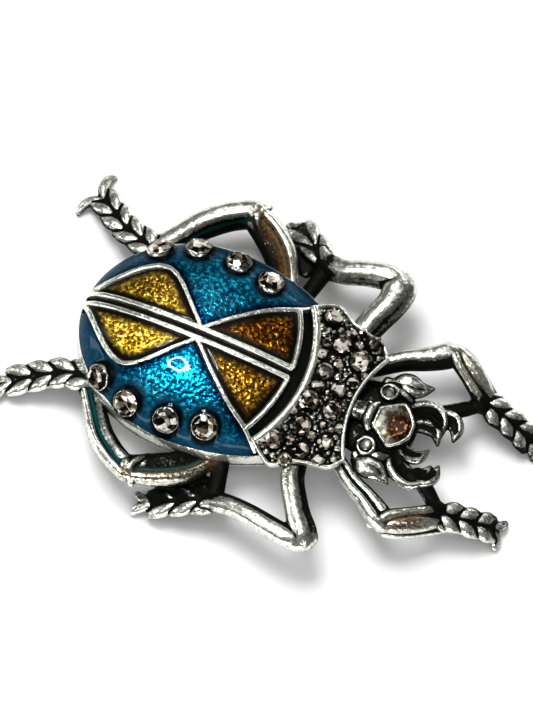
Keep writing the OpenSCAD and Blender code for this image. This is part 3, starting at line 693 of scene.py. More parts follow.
cups = [stand_on(cup(f"cup_{i}_{tag}"), dome(x, y), dome_normal(x, y), 0.2 * i)
        for i, tag, _, x, y in STONE_SEATS]
cups = joined("stone_cups", cups)
print("cups:", len(cups.data.vertices), "points")

# %% [markdown]
# ## Collar
# The collar is a saddle behind the head: a black tray full of small stones and
# silver grains, with a bright raised edge. Its plan is an arc behind, an arc in
# front and a notched side, and its top bends down to both sides.

# %% The collar's surface and outline
COLLAR_REAR, COLLAR_L, COLLAR_HALF, COLLAR_H, TRAY_D = 10.581, 5.4, 8.8, 4.1, 0.5
COLLAR_FRONT = COLLAR_REAR + COLLAR_L
SIDE = [(1.27, 0.63), (1.08, 0.77), (0.86, 0.815), (0.6, 0.845), (0.38, 0.89), (0.14, 0.995), (-0.07, 0.98),
        (-0.41, 0.835)]


def collar_z(x, y):
    mid = RIM_Z + COLLAR_H - 0.16 * (np.asarray(x, float) - COLLAR_REAR)
    low = RIM_Z + COLLAR_H * 0.25
    q = np.minimum(1, np.abs(y) / (COLLAR_HALF * 1.07))
    return low + (mid - low) * (1 - q ** 3) ** (1 / 3)


def collar_normal(x, y):
    e = 0.05
    return unit(np.array([(collar_z(x - e, y) - collar_z(x + e, y)) / (2 * e),
                          (collar_z(x, y - e) - collar_z(x, y + e)) / (2 * e), 1.0]))


def front_edge(y):
    return COLLAR_FRONT + y * y * 0.27 * COLLAR_L / (COLLAR_HALF * 0.63) ** 2


def rear_edge(y):
    return COLLAR_REAR - FRONT_R + np.sqrt(FRONT_R ** 2 - y * y)


def collar_plan(rows=56, columns=90):
    side = smooth([(COLLAR_REAR + a * COLLAR_L, b * COLLAR_HALF) for a, b in SIDE], 4)
    side = even(side, rows)
    v = np.linspace(-1, 1, columns)[None, :]
    y = side[:, 1:] * v
    ahead = 1 - np.linspace(0, 1, rows)[:, None]
    front_bow = front_edge(y) - front_edge(side[:, 1:])
    rear_bow = rear_edge(y) - rear_edge(side[:, 1:])
    return np.stack([side[:, :1] + (ahead * front_bow + (1 - ahead) * rear_bow), y], -1)


plan = collar_plan()
tray = slab(sheet("collar_tray", np.dstack([plan, collar_z(plan[..., 0], plan[..., 1]) - TRAY_D])), 1.2)
print("tray:", len(tray.data.vertices), "points")


# %% [markdown]
# Raised edges close on themselves. A hoop carries a section round a plan, and
# knows its inside by the sign of the plan's area.

# %% A hoop round a plan
def plan_area(path):
    return 0.5 * np.sum(path[:, 0] * np.roll(path[:, 1], -1) - path[:, 1] * np.roll(path[:, 0], -1))


def hoop(name, path, section, height, broad=lambda x, y: 1.0):
    path = np.asarray(path, float)
    run = unit(np.roll(path, -1, 0) - np.roll(path, 1, 0))
    inward = np.stack([-run[:, 1], run[:, 0]], 1) * (1 if plan_area(path) > 0 else -1)
    rows = []
    for i in range(len(path)):
        x, y = path[i]
        w = broad(x, y)
        rows.append([[x + inward[i, 0] * a * w, y + inward[i, 1] * a * w, height(x, y) + b]
                     for a, b in section + section[:1]])
    rows.append(rows[0])
    return sheet(name, np.array(rows), closed=True)


# %% The collar's raised edge
EDGE = [(-0.02, -0.75), (-0.04, -0.2), (0.02, -0.02), (0.12, 0.06), (0.26, 0.06), (0.38, -0.04),
        (0.45, -0.25), (0.45, -0.75)]
border = np.vstack([plan[0], plan[1:-1, -1], plan[-1][::-1], plan[1:-1, 0][::-1]])
border = even(np.vstack([border, border[:1]]), 361)[:-1]


def edge_share(x, y):
    return 0.8 + 0.85 * math.exp(-((x - rear_edge(y)) / 0.9) ** 2)


edge = hoop("collar_edge", border, EDGE, lambda x, y: float(collar_z(x, y)), edge_share)
print("edge:", len(edge.data.vertices), "points, plan area", round(abs(plan_area(border)), 1), "mm2")

# %% [markdown]
# The stones of the collar lie close, of many sizes, with silver grains between
# them. The large ones are placed one by one from a list. The grains are
# scattered with a fixed seed wherever there is room.

# %% Places on the collar
PAVE = [(5.25, 7.0, 2.0), (7.1, 4.87, 2.2), (9.53, 4.15, 2.4), (10.02, 6.27, 2.0), (6.66, 1.71, 1.8),
        (6.72, 0.08, 1.5), (8.62, 0.57, 1.6), (9.65, 1.83, 1.4), (6.4, -1.62, 2.2), (8.79, -1.55, 2.0),
        (6.68, -4.2, 2.2), (4.98, -6.37, 2.0), (3.94, -7.22, 1.3), (7.62, -6.29, 1.8), (9.42, -4.71, 1.7),
        (6.66, -7.71, 1.6), (9.54, -6.49, 1.5), (6.34, -5.93, 1.1), (7.44, 6.34, 1.4), (5.75, 4.5, 1.1),
        (7.68, 2.97, 1.2), (8.05, -4.72, 1.2), (9.79, -0.28, 1.1), (8.57, -3.26, 1.0), (5.75, 3.2, 1.1),
        (8.7, 5.6, 1.1), (10.3, 3.0, 1.0), (5.55, -3.2, 1.0), (10.2, -2.9, 1.1), (8.5, 7.1, 1.1)]
PAVE_X, TRIES, LARGE_TRIES = 5.5, 9000, 3000


def inside_border(x, y, room):
    d = np.hypot(border[:, 0] - x, border[:, 1] - y)
    q = np.unwrap(np.arctan2(np.r_[border[:, 1], border[0, 1]] - y, np.r_[border[:, 0], border[0, 0]] - x))
    return abs(q[-1] - q[0]) > 3 and d.min() > room


def on_collar(piece, x, y, lift, turn):
    tilt = np.array([math.sin(7 * x + 3 * y), math.cos(5 * x - 4 * y), 0])
    normal = unit(collar_normal(x, y) + tilt * 0.12)
    place = np.array([x, y, float(collar_z(x, y)) - TRAY_D]) + normal * lift
    return stand_on(piece, place, normal, turn)


# %% Collar stones and grains
pave, grains, taken = [], [], []
for k, (x, y, d) in enumerate(PAVE):
    x += PAVE_X
    pave.append(on_collar(brilliant(f"pave_{k}", d * 0.93, 100 + k), x, y, d * 0.26 + 0.04, 0.7 * k))
    taken.append((x, y, d / 2))
rng = np.random.default_rng(11)
for k in range(TRIES):
    x, y = rng.uniform(8.0, 18.0), rng.uniform(-8.9, 8.9)
    r = rng.uniform(0.3, 0.42) if k < LARGE_TRIES else rng.uniform(0.13, 0.25)
    crowded = any(math.hypot(x - a, y - b) < r + c - 0.08 for a, b, c in taken)
    if crowded or not inside_border(x, y, r + 0.36):
        continue
    bpy.ops.object.select_all(action="DESELECT")
    bpy.ops.mesh.primitive_uv_sphere_add(segments=12, ring_count=8, radius=r)
    grain = bpy.context.object
    grains.append(on_collar(grain, x, y, r * 0.5 + 0.05, 0))
    taken.append((x, y, r))
print("collar stones:", len(pave), "grains:", len(grains))
pave = joined("pave", pave)
grains = joined("grains", grains)

# %% [markdown]
# ## Head
# The head is a tight knot of small forms: a plate with a bezel, two eye cups,
# a neck, pointed feelers and three pairs of cupped jaws that curve to the
# middle. All are limbs and bars that are fused in the end, as in the cast.

# %% Head plate with its bezel
PLATE_X, PLATE_Z, PLATE_TILT, PLATE_BOW = 18.281, 5.783, 6, 0.03
PLATE = [(18.36, 0.98), (19.55, 1.78), (20.45, 2.36), (20.9, 2.22), (21.7, 1.5), (22.2, 0.7)]
BEZEL = [(-0.02, -1.4), (-0.1, -0.3), (-0.02, -0.04), (0.12, 0.05), (0.28, 0.0), (0.36, -0.12), (0.4, -0.32),
         (0.4, -1.4)]


def plate_z(x, y):
    fall = (np.asarray(x, float) - PLATE_X) * math.tan(math.radians(PLATE_TILT))
    return PLATE_Z - fall - PLATE_BOW * np.asarray(y, float) ** 2


plate_border = np.array(PLATE + [(x, -y) for x, y in PLATE[::-1]])
plate_border = even(np.vstack([plate_border, plate_border[:1]]), 121)[:-1]
for _ in range(2):
    plate_border = 0.5 * plate_border + 0.25 * (np.roll(plate_border, 1, 0) + np.roll(plate_border, -1, 0))
head = [hoop("bezel", plate_border, BEZEL, lambda x, y: float(plate_z(x, y)))]


def disc_rows(border, centre, shares, height):
    closed = np.vstack([border, border[:1]])
    rows = []
    for s in shares:
        plan = centre + (closed - centre) * s
        rows.append(np.c_[plan, height(plan[:, 0], plan[:, 1], s)])
    return np.array(rows)


middle = np.array([20.5, 0.0])
base = disc_rows(plate_border, middle, [0.02, 0.3, 0.6, 0.9, 0.9, 0.6, 0.3, 0.02],
                 lambda x, y, s: plate_z(x, y) - 0.35)
base[4:, :, 2] -= 1.1
head.append(sheet("plate_base", base, closed=True))
crown = disc_rows(plate_border, middle, [0.02, 0.2, 0.4, 0.6, 0.78, 0.88, 0.93, 0.93, 0.02],
                  lambda x, y, s: plate_z(x, y) + 0.06 - 0.2 * s ** 4)
crown[7:, :, 2] -= 0.25
head_fill = sheet("fill_head", crown, closed=True)
print("plate border:", len(plate_border), "points")

# %% Neck, throat and cheeks
def both(name, rows, section=PLAIN, left=(0, 0), right=(0, 0), **more):
    rows = np.asarray(rows, float)
    other = rows * np.array([1, -1, 1, 1, 1, 1]) + np.r_[right, 0, 0, 0, 0]
    rows = rows + np.r_[left, 0, 0, 0, 0]
    flipped = [(-c, w, d) for c, w, d in section]
    return [limb(f"{name}_left", rows, section, **more), limb(f"{name}_right", other, flipped, **more)]


neck = [(16.2, 0, 5.2, 1.0, 0.7, 0), (17.2, 0, 5.35, 1.05, 0.6, 0), (18.3, 0, 5.3, 1.2, 0.5, 0)]
nape = [(18.1, 1.35, 5.1, 0.35, 0.35, 0), (17.75, 0.6, 5.55, 0.5, 0.42, 0), (17.75, -0.6, 5.55, 0.5, 0.42, 0),
        (18.1, -1.35, 5.1, 0.35, 0.35, 0)]
throat = [(15.6, 1.6, 3.95, 1.7, 0.7, 0), (18.0, 2.0, 4.0, 1.9, 0.75, 0), (20.3, 1.6, 4.0, 1.5, 0.7, 0),
          (21.6, 1.0, 3.9, 1.0, 0.5, 0)]
cheek = [(18.7, 3.2, 4.1, 0.9, 0.75, 0), (19.9, 3.4, 4.25, 0.75, 0.7, 0), (20.9, 3.0, 4.1, 0.5, 0.55, 0)]
head += [limb("neck", neck, PLAIN), limb("nape", nape, PLAIN)]
head += both("throat", throat) + both("cheek", cheek)


# %% Eye cups and their fills
EYE_X, EYE_Y, EYE_Z = 18.58, 2.976, 5.005
EYE_LEAN_OUT, EYE_LEAN_AHEAD = -14, -8
EYE_CUP = [(1.1, -1.9), (1.08, -0.9), (0.98, -0.78), (1.06, -0.6), (0.98, -0.42), (0.97, -0.1), (0.9, 0.02),
           (0.8, 0.05), (0.7, 0.0), (0.66, -0.12), (0.66, -0.35), (0.02, -0.35)]
EYE_FILL = [(0.02, -0.08), (0.25, -0.09), (0.45, -0.13), (0.58, -0.19), (0.62, -0.25), (0.62, -0.34),
            (0.02, -0.34)]


def turned(name, section, sign):
    q = np.linspace(0, 2 * np.pi, 49)
    rows = [np.stack([r * np.cos(q), r * np.sin(q), np.full(49, z)], 1) for r, z in section]
    piece = sheet(name, np.array(rows), closed=True)
    only(piece)
    piece.rotation_euler = (math.radians(EYE_LEAN_OUT * sign), math.radians(EYE_LEAN_AHEAD), 0)
    piece.location = (EYE_X, sign * EYE_Y, EYE_Z)
    bpy.ops.object.transform_apply(location=True, rotation=True, scale=True)
    return piece


head += [turned(f"eye_cup_{sign}", EYE_CUP, sign) for _, sign in SIDES]
eye_fills = {tag: turned(f"fill_eye_{tag}", EYE_FILL, sign) for tag, sign in SIDES}

# %% [markdown]
# The jaws are scoops. Their section has a high bright lip on the outside and a
# black floor. The groove of the section makes the floor, and a pool of patina
# is laid along it.

# %% Feelers and jaws
SCOOP = [(-0.25, 0.55, 1.0)]
LEAF = [(-0.1, 0.3, 0.8)]
FEELER_Z = 4.1
feeler = [(18.2, 4.3, FEELER_Z - 0.1, 0.7, 0.5, 0), (19.1, 4.7, FEELER_Z + 0.3, 1.15, 0.55, 0.2),
          (20.1, 4.75, FEELER_Z + 0.35, 1.2, 0.5, 0.3), (21.0, 5.0, FEELER_Z + 0.1, 0.8, 0.42, 0.25),
          (21.9, 5.5, FEELER_Z, 0.2, 0.2, 0)]
leaf = [(17.9, 4.05, FEELER_Z + 0.1, 0.5, 0.4, 0), (19.7, 4.0, FEELER_Z + 0.1, 0.65, 0.35, 0.2),
        (21.1, 3.84, FEELER_Z - 0.1, 0.14, 0.14, 0)]
head += both("feeler", feeler, LEAF, left=(0.5, -0.3)) + both("leaf", leaf, LEAF)
jaw = [(21.0, 2.4, 4.0, 0.7, 0.6, 0.1), (22.1, 3.65, 4.15, 1.05, 0.75, 0.7),
       (23.5, 4.15, 4.1, 1.2, 0.8, 0.85), (24.55, 3.6, 3.95, 0.95, 0.68, 0.7),
       (25.1, 2.2, 3.75, 0.22, 0.28, 0)]
lobe = [(24.2, 4.05, 3.9, 0.6, 0.5, 0), (25.6, 4.05, 3.95, 0.85, 0.68, 0.45),
        (26.35, 3.25, 3.85, 0.75, 0.58, 0.4), (26.5, 2.15, 3.7, 0.2, 0.24, 0)]
hook = [(21.0, 1.2, 3.95, 0.55, 0.5, 0), (22.3, 1.9, 4.05, 0.78, 0.58, 0.45),
        (23.6, 1.8, 3.95, 0.72, 0.52, 0.4), (24.3, 0.75, 3.75, 0.18, 0.22, 0)]
SCOOPS = {"jaw": (jaw, (-0.3, -1.3), (0, 0)), "lobe": (lobe, (-0.35, -1.0), (-0.7, 0.3)),
          "hook": (hook, (0.6, -0.6), (0, 0))}
for name, (rows, left, right) in SCOOPS.items():
    head += both(name, rows, SCOOP, left=left, right=right, steps=8)
gullet = [(18.5, 0, 3.4, 2.7, 0.4, 0), (20.8, 0, 3.4, 2.7, 0.4, 0), (22.3, 0, 3.4, 1.6, 0.3, 0)]
head.append(limb("gullet", gullet, PLAIN))
print("head pieces:", len(head))

# %% [markdown]
# ## Legs
# Six legs hold the body up. Each has a thigh and a shin that meet in a high
# knee. The front shins carry a soft pillow beside a bright bar, and the others
# have a groove along their back. Their stations are shares of each leg's reach,
# so a leg can be drawn longer without losing its shape.

# %% Stations of the legs
KNEE_H, LIMB_W, FOOT_L = 5.0, 2.3, 8.0
FRONT_HIP, MID_HIP, HIND_HIP = (17.231, 5.808), (13.983, 7.92), (4.84, 9.63)


def leg(hip, reach, rows):
    rows = np.asarray(rows, float)
    return np.c_[hip[0] + rows[:, 0] * reach, hip[1] + rows[:, 1] * reach, rows[:, 2] * KNEE_H,
                 rows[:, 3] * LIMB_W, rows[:, 4] * LIMB_W, rows[:, 5]]


FRONT_REACH, MID_REACH, HIND_REACH = 11, 6, 9
LEG_ROWS = {
    "front_thigh": leg(FRONT_HIP, FRONT_REACH, [
        (-0.1, -0.08, 0.8, 0.36, 0.4, 0), (0.12, 0.08, 0.86, 0.42, 0.42, 0.15),
        (0.3, 0.17, 0.89, 0.48, 0.42, 0.3), (0.46, 0.27, 0.92, 0.55, 0.42, 0.25),
        (0.56, 0.33, 0.9, 0.4, 0.3, 0)]),
    "mid_thigh": leg(MID_HIP, MID_REACH, [
        (-0.05, -0.2, 0.88, 0.5, 0.4, 0), (0.08, 0.2, 0.98, 0.52, 0.42, 0.25),
        (0.22, 0.55, 1.04, 0.54, 0.42, 0.35), (0.25, 0.85, 1.06, 0.6, 0.44, 0.25),
        (0.16, 1.02, 1.04, 0.45, 0.34, 0)]),
    "mid_shin": leg(MID_HIP, MID_REACH, [
        (0.26, 0.86, 1.03, 0.42, 0.34, 0), (0.05, 0.97, 1.04, 0.5, 0.4, 0.2),
        (-0.36, 0.92, 0.96, 0.48, 0.4, 0.35), (-0.72, 0.82, 0.86, 0.46, 0.38, 0.3),
        (-1.02, 0.86, 0.76, 0.46, 0.34, 0.1), (-1.22, 1.06, 0.74, 0.18, 0.18, 0)]),
    "hind_thigh": leg(HIND_HIP, HIND_REACH, [
        (0.02, -0.1, 0.58, 0.5, 0.34, 0), (-0.08, 0.12, 0.66, 0.56, 0.42, 0.3),
        (-0.22, 0.3, 0.78, 0.64, 0.46, 0.55), (-0.44, 0.47, 0.83, 0.62, 0.46, 0.55),
        (-0.68, 0.59, 0.84, 0.5, 0.42, 0.2)]),
    "hind_shin": leg(HIND_HIP, HIND_REACH, [
        (-0.62, 0.6, 0.86, 0.46, 0.42, 0), (-0.86, 0.49, 0.83, 0.48, 0.44, 0.25),
        (-1.12, 0.28, 0.76, 0.48, 0.44, 0.35), (-1.35, 0.01, 0.62, 0.44, 0.4, 0.3),
        (-1.53, -0.22, 0.56, 0.38, 0.34, 0)])}
FRONT_SHIN = {
    "front_bar": leg(FRONT_HIP, FRONT_REACH, [
        (0.5, 0.31, 0.95, 0.3, 0.3, 0), (0.57, 0.23, 0.95, 0.25, 0.32, 0.1),
        (0.7, 0.14, 0.87, 0.22, 0.3, 0.1), (0.84, 0.05, 0.76, 0.27, 0.3, 0.1),
        (0.92, -0.02, 0.68, 0.33, 0.33, 0)]),
    "front_pillow": leg(FRONT_HIP, FRONT_REACH, [
        (0.54, 0.34, 0.88, 0.3, 0.3, 0), (0.64, 0.29, 0.88, 0.4, 0.34, 0), (0.78, 0.2, 0.8, 0.44, 0.34, 0),
        (0.92, 0.1, 0.66, 0.38, 0.3, 0), (1.0, 0.06, 0.58, 0.26, 0.26, 0)]),
    "front_lip": leg(FRONT_HIP, FRONT_REACH, [
        (0.58, 0.39, 0.76, 0.17, 0.24, 0), (0.68, 0.36, 0.73, 0.15, 0.2, 0), (0.84, 0.26, 0.6, 0.15, 0.2, 0),
        (1.0, 0.14, 0.5, 0.17, 0.2, 0)])}
print("legs:", len(LEG_ROWS), "thighs and shins on a side, and a front shin in", len(FRONT_SHIN), "parts")

# %% [markdown]
# The two sides of the beetle weren't cast alike. The right middle and hind legs
# are bent a little further, and the left ones are a little stouter.

# %% How the two sides differ
RIGHT_MOVES = {
    "mid_thigh": [(-0.7, 0.2), (-1.0, -0.1), (-0.16, 0.5), (1.1, 0.6), (1.4, 0.5)],
    "mid_shin": [(1.0, 0.8), (0.7, 0.6), (-0.4, 0.35), (-0.6, 0.7), (-0.4, 0.6), (-0.3, 0)],
    "hind_thigh": [(0, 0), (0, 0), (-0.2, -0.2), (-0.5, -0.5), (-0.8, -0.7)],
    "hind_shin": [(-0.8, -0.7), (-0.6, -0.6), (-0.3, -0.2), (0, 0), (0, 0)]}
LEFT_GROWTH = {"mid_thigh": (1.25, 1.15), "mid_shin": (1.15, 1.1), "hind_shin": (1.18, 1.1)}


def rows_on(name, sign):
    rows = LEG_ROWS[name]
    if sign < 0 and name in RIGHT_MOVES:
        return rows + np.array(RIGHT_MOVES[name]) @ np.eye(2, 6)
    if sign > 0 and name in LEFT_GROWTH:
        return rows * np.array([1, 1, 1, *LEFT_GROWTH[name], 1])
    return rows


def flipped(rows, sign, move=(0, 0)):
    return np.asarray(rows, float) * np.array([1, sign, 1, 1, 1, 1]) + np.r_[move, 0, 0, 0, 0]


# %% [markdown]
# Each thigh and shin is two round bands side by side with a groove between. The
# bands' middle lines are kept, because the finish later follows them: black on
# the inner band, which faces the body, as painted shade, black patina in the
# seam, and on the hind thighs a brown stain.

# %% A limb of two bands
# outer offset and width, inner offset, width and lift, painted shade black on the inner band, black patina in
# the seam
BUILD = {
    "front_thigh_left": (0.1, 0.9, -0.4, 0.62, -0.5, 0.7, 0.0),
    "front_thigh_right": (0.42, 0.6, -0.42, 0.6, -0.12, 0.3, 0.7),
    "mid_thigh": (0.14, 0.86, -0.3, 0.7, -0.3, 0.45, 0.0),
    "mid_shin": (0.12, 0.88, -0.3, 0.68, -0.3, 0.08, 0.0),
    "hind_thigh": (0.62, 0.52, -0.42, 0.76, -0.2, 0.98, 1.0),
    "hind_shin_left": (0.16, 0.92, -0.5, 0.6, -0.6, 0.4, 0.0),
    "hind_shin_right": (0.6, 0.56, -0.46, 0.7, -0.1, 0.62, 0.9)}
BEETLE_MIDDLE = np.array([13.0, 0.0])
BANDS = {}


def build_of(name, tag):
    return BUILD.get(name) or BUILD[f"{name}_{tag}"]


def bands(name, tag, rows, sign):
    out_at, out_w, in_at, in_w, in_lift, _, _ = build_of(name, tag)
    dense = smooth(flipped(rows, sign), 4)
    run = runs_of(dense[:, :3] * np.array([1, 1, 0]))
    side = np.stack([-run[:, 1], run[:, 0]], 1)
    away = np.sign(np.sum(side * (dense[:, :2] - BEETLE_MIDDLE), 1))
    side = side * (1 if away.sum() > 0 else -1)
    made = []
    both_bands = (("outer", out_at, out_w, 0.98, 0.04), ("inner", in_at, in_w, 0.9, in_lift))
    for kind, off, wide, tall, lift in both_bands:
        part = dense.copy()
        part[:, :2] += side * dense[:, 3:4] * off
        part[:, 3] = dense[:, 3] * wide
        part[:, 4] = dense[:, 4] * tall
        part[:, 2] += lift
        part[:, 5] = 0.0
        made.append(limb(f"{name}_{tag}_{kind}", part, PLAIN, steps=2, sides=22))
        BANDS[f"{name}_{tag}_{kind}"] = part[:, :3]
    middle = dense[:, :3].copy()
    middle[:, :2] += side * dense[:, 3:4] * (out_at - out_w + in_at + in_w) / 2
    stained = side * dense[:, 3:4] * (-0.1 if sign > 0 else 0.4)
    BANDS[f"{name}_{tag}_seam"] = middle + [0, 0, 0.3]
    BANDS[f"{name}_{tag}_rust"] = middle + np.c_[stained, np.full(len(side), 0.75)]
    return made


print("bands:", len(BUILD), "builds")

# %% [markdown]
# A foot is a row of barbed segments, one opening out of the next like a plait,
# and ends in two claws. Each segment has two swept lobes that meet in a V. The
# lobes are short limbs, so they fuse with the stem between them.

# %% A foot of barbs
BARB_SIZES = [(0.42, 0.5, 0), (0.76, 0.64, 0), (0.8, 0.6, 0.05), (0.4, 0.36, 0)]
BARB_PLACES = [(-0.5, 0.25, 0), (-0.1, 0.5, 0.12), (0.3, 0.76, 0.14), (0.74, 0.98, 0)]
BARB_LEAN, STEM_W = 22, 0.66


def barb(name, place, along, side, pitch, wide):
    out = unit(np.cross([0, 0, 1], along))
    rise = np.cross(along, out)
    rows = [np.r_[place + along * a * pitch + out * side * b * wide + rise * c, size]
            for (a, b, c), size in zip(BARB_PLACES, BARB_SIZES)]
    return limb(name, rows, HOLLOW, steps=5, sides=16, lean=BARB_LEAN * side)


# %% A claw at the end of a foot
CLAW_SIZES = [(0.0, (0.5, 0.5, 0)), (0.35, (0.52, 0.5, 0.1)), (0.7, (0.48, 0.45, 0.3)),
              (1.0, (0.32, 0.32, 0.1))]


def claw(name, tail, along, tip):
    bow = np.array([tip[0] - tail[0], tip[1] - tail[1], 0.0])
    straight = along * np.array([1, 1, 0]) * np.linalg.norm(bow)
    rows = []
    for t, size in CLAW_SIZES:
        q = tail - along * 0.3 + straight * 0.9 * t * (1 - t) + bow * t ** 1.1
        rows.append(np.r_[q[:2], tail[2] + (tip[2] - tail[2]) * t ** 1.4, size])
    return limb(name, rows, HOLLOW, steps=5, sides=18)


# %% A whole foot
FOOT_POINTS = 60


def foot(name, end, shares, pairs, tips, wide):
    line = smooth([(end[0] + a * FOOT_L, end[1] + b * FOOT_L, c * FOOT_L) for a, b, c in shares], 8)
    line = even(line, FOOT_POINTS)
    BANDS[f"{name}_axis"] = line[::5]
    BANDS[f"{name}_inside"] = line[::5] * np.array([1, 0.945, 1])
    stem = line[::6]
    stem_rows = np.c_[stem - [0, 0, 0.15], np.full((len(stem), 2), STEM_W), np.zeros(len(stem))]
    pieces = [limb(f"{name}_stem", stem_rows, PLAIN, steps=3, sides=16)]
    run = runs_of(line)
    pitch = np.linalg.norm(np.diff(line, axis=0), axis=1).sum() / pairs
    for i in range(pairs):
        k = int((i + 0.35) / pairs * (FOOT_POINTS - 1))
        pieces += [barb(f"{name}_barb", line[k], run[k], side, pitch, wide) for side in (1, -1)]
    return pieces + [claw(f"{name}_claw", line[-1], run[-1], tip) for tip in tips]


# %% Where the feet go
FEET = {
    "front_left": ([(0, 0, 0.39), (0.24, -0.04, 0.32), (0.46, -0.09, 0.22), (0.6, -0.14, 0.13)], 3,
                   [(34.05, 3.5, 0.4), (34.0, 6.2, 0.4)]),
    "front_right": ([(0, 0, 0.39), (0.24, 0.04, 0.32), (0.46, 0.09, 0.22), (0.6, 0.14, 0.13)], 3,
                    [(34.05, -3.5, 0.4), (34.0, -6.2, 0.4)]),
    "mid_left": ([(0, 0, 0.4), (-0.2, 0.15, 0.33), (-0.36, 0.28, 0.24), (-0.5, 0.36, 0.12)], 2,
                 [(1.9, 16.6, 0.5), (3.2, 17.3, 0.5)]),
    "mid_right": ([(0, 0, 0.4), (-0.26, -0.1, 0.33), (-0.54, -0.22, 0.22), (-0.74, -0.3, 0.12)], 3,
                  [(-0.5, -15.3, 0.45), (-0.2, -17.2, 0.45)]),
    "hind_left": ([(0, 0, 0.4), (-0.22, 0.09, 0.35), (-0.5, 0.2, 0.27), (-0.74, 0.37, 0.18),
                   (-0.92, 0.46, 0.13)], 4, [(-18.3, 9.4, 0.4), (-16.6, 14.4, 0.4)]),
    "hind_right": ([(0, 0.05, 0.4), (-0.26, 0.05, 0.35), (-0.52, -0.05, 0.27), (-0.78, -0.19, 0.18),
                    (-0.95, -0.29, 0.134)], 4, [(-19.0, -10.2, 0.4), (-17.4, -12.7, 0.4)])}
FOOT_STARTS = {"front": ((28.011, 5.918), 1.05), "mid": ((7.383, 13.32), 1.1), "hind": ((-8.93, 7.65), 1.15)}
print("feet:", len(FEET))

# %% [markdown]
# Small bars tie the legs together and to the body, as the casting's own webs do,
# and clasps and knobs thicken the knees. On the right side some of them are
# shifted, by the pair of shares after the name.

# %% Ties, clasps and knobs
RIGHT_SHIFT = -0.9
TIES = [
    ("post", (1, 0), [(7.08, 9.2, 3.4, 0.8, 0.6, 0), (7.9, 12.8, 3.5, 0.9, 0.6, 0)]),
    ("web", (0, 0), [(6.3, 12.3, 2.6, 1.1, 0.5, 0), (3.2, 12.9, 2.4, 1.1, 0.5, 0),
                     (0.6, 13.5, 1.9, 0.8, 0.4, 0)]),
    ("link", (0, 0), [(24.0, 3.3, 3.7, 0.8, 0.5, 0), (25.6, 4.4, 3.6, 0.8, 0.55, 0),
                      (27.1, 5.6, 3.4, 0.7, 0.5, 0)]),
    ("spur", (0, 0), [(27.4, 6.7, 3.5, 0.4, 0.35, 0), (28.6, 7.3, 3.2, 0.32, 0.28, 0),
                      (29.1, 7.0, 3.0, 0.16, 0.16, 0)]),
    ("front_clasp", (0, 0), [(22.0, 8.1, 4.4, 0.4, 0.4, 0), (22.6, 8.75, 4.95, 0.45, 0.4, 0),
                             (22.0, 9.9, 4.3, 0.4, 0.4, 0)]),
    ("front_clasp", (0, 0), [(22.8, 7.9, 4.3, 0.36, 0.36, 0), (23.5, 8.8, 4.9, 0.4, 0.36, 0),
                             (22.9, 10.0, 4.1, 0.34, 0.36, 0)]),
    ("mid_knee", (-1.3, 0.6), [(15.9, 13.0, 5.0, 1.1, 0.95, 0), (15.2, 13.7, 5.05, 1.2, 0.95, 0),
                               (14.5, 13.9, 5.05, 1.1, 0.9, 0)]),
    ("hind_clasp", (1, -0.8), [(0.5, 12.9, 4.2, 0.28, 0.34, 0), (-0.5, 14.6, 5.2, 0.32, 0.38, 0),
                               (0.2, 16.2, 4.3, 0.28, 0.34, 0)]),
    ("hind_knob", (1, -0.8), [(-0.9, 14.7, 4.6, 0.8, 0.8, 0), (-0.4, 15.3, 4.6, 0.7, 0.7, 0)])]
print("ties, clasps and knobs on a side:", len(TIES))


# %% Build one side's legs
def legs_of(tag, sign):
    made = []
    for name in LEG_ROWS:
        made += bands(name, tag, rows_on(name, sign), sign)
    for name, rows in FRONT_SHIN.items():
        made.append(limb(f"{name}_{tag}", flipped(rows, sign), PLAIN, steps=7))
    shift = 0.0 if sign > 0 else RIGHT_SHIFT
    for name, (ahead, aside), rows in TIES:
        rows = flipped(rows, sign, (shift * ahead, shift * aside))
        made.append(limb(f"{name}_{tag}", rows, PLAIN))
        BANDS[f"{name}_{tag}"] = rows[:, :3] + [0, 0, 0.4]
    for name, ((x, y), wide) in FOOT_STARTS.items():
        shares, pairs, tips = FEET[f"{name}_{tag}"]
        made += foot(f"{name}_foot_{tag}", (x, y * sign), shares, pairs, tips, wide)
    return made


legs = {tag: joined(f"legs_{tag}", legs_of(tag, sign)) for tag, sign in SIDES}
print("legs joined:", {tag: len(piece.data.vertices) for tag, piece in legs.items()})

# %% [markdown]
# ## Fuse the castings
# Each group is fused by itself, so that no piece grows past two hundred
# thousand triangles. Black patina collects in hollows, and in the floors of the
# jaws, the cheeks and the throat, which are marked with lines.

# %% Fuse the head
def sided(rows, left=(0, 0), right=(0, 0)):
    rows = np.asarray(rows, float)[:, :3]
    return [rows + np.r_[left, 0], rows * np.array([1, -1, 1]) + np.r_[right, 0]]


FLOORS = {"jaw": (slice(1, 4), -0.35, 0.72, 1.3), "lobe": (slice(1, 3), -0.2, 0.5, 1.1),
          "hook": (slice(1, 3), -0.15, 0.35, 1.0)}
HEAD_POOLS = [([(16.4, 0.6, 4.2), (16.6, 2.4, 4.0), (17.0, 3.6, 3.8)], 1.0, 1.0),
              ([(19.2, 2.9, 4.2), (21.3, 2.6, 4.1), (22.6, 1.9, 4.1)], 0.9, 1.0),
              ([(16.3, 0.0, 5.7), (17.0, 0.9, 5.5), (17.4, 1.9, 5.0)], 0.7, 0.7)]
THROAT_POOL = ([(22.4, 0, 4.0), (23.4, 0, 4.0), (24.2, 0, 4.0)], 1.1, 1.0)
HEAD_LINE = ([(18, 0, 4.5), (21, 0, 4.5), (24, 0, 4.3), (26, 0, 4.1)], 5.0, 0.7)
UNDERSIDE = 4.5
HEAD_VOXEL, LEG_VOXEL = 0.1, 0.11
head = fused(joined("head_metal", head), HEAD_VOXEL)
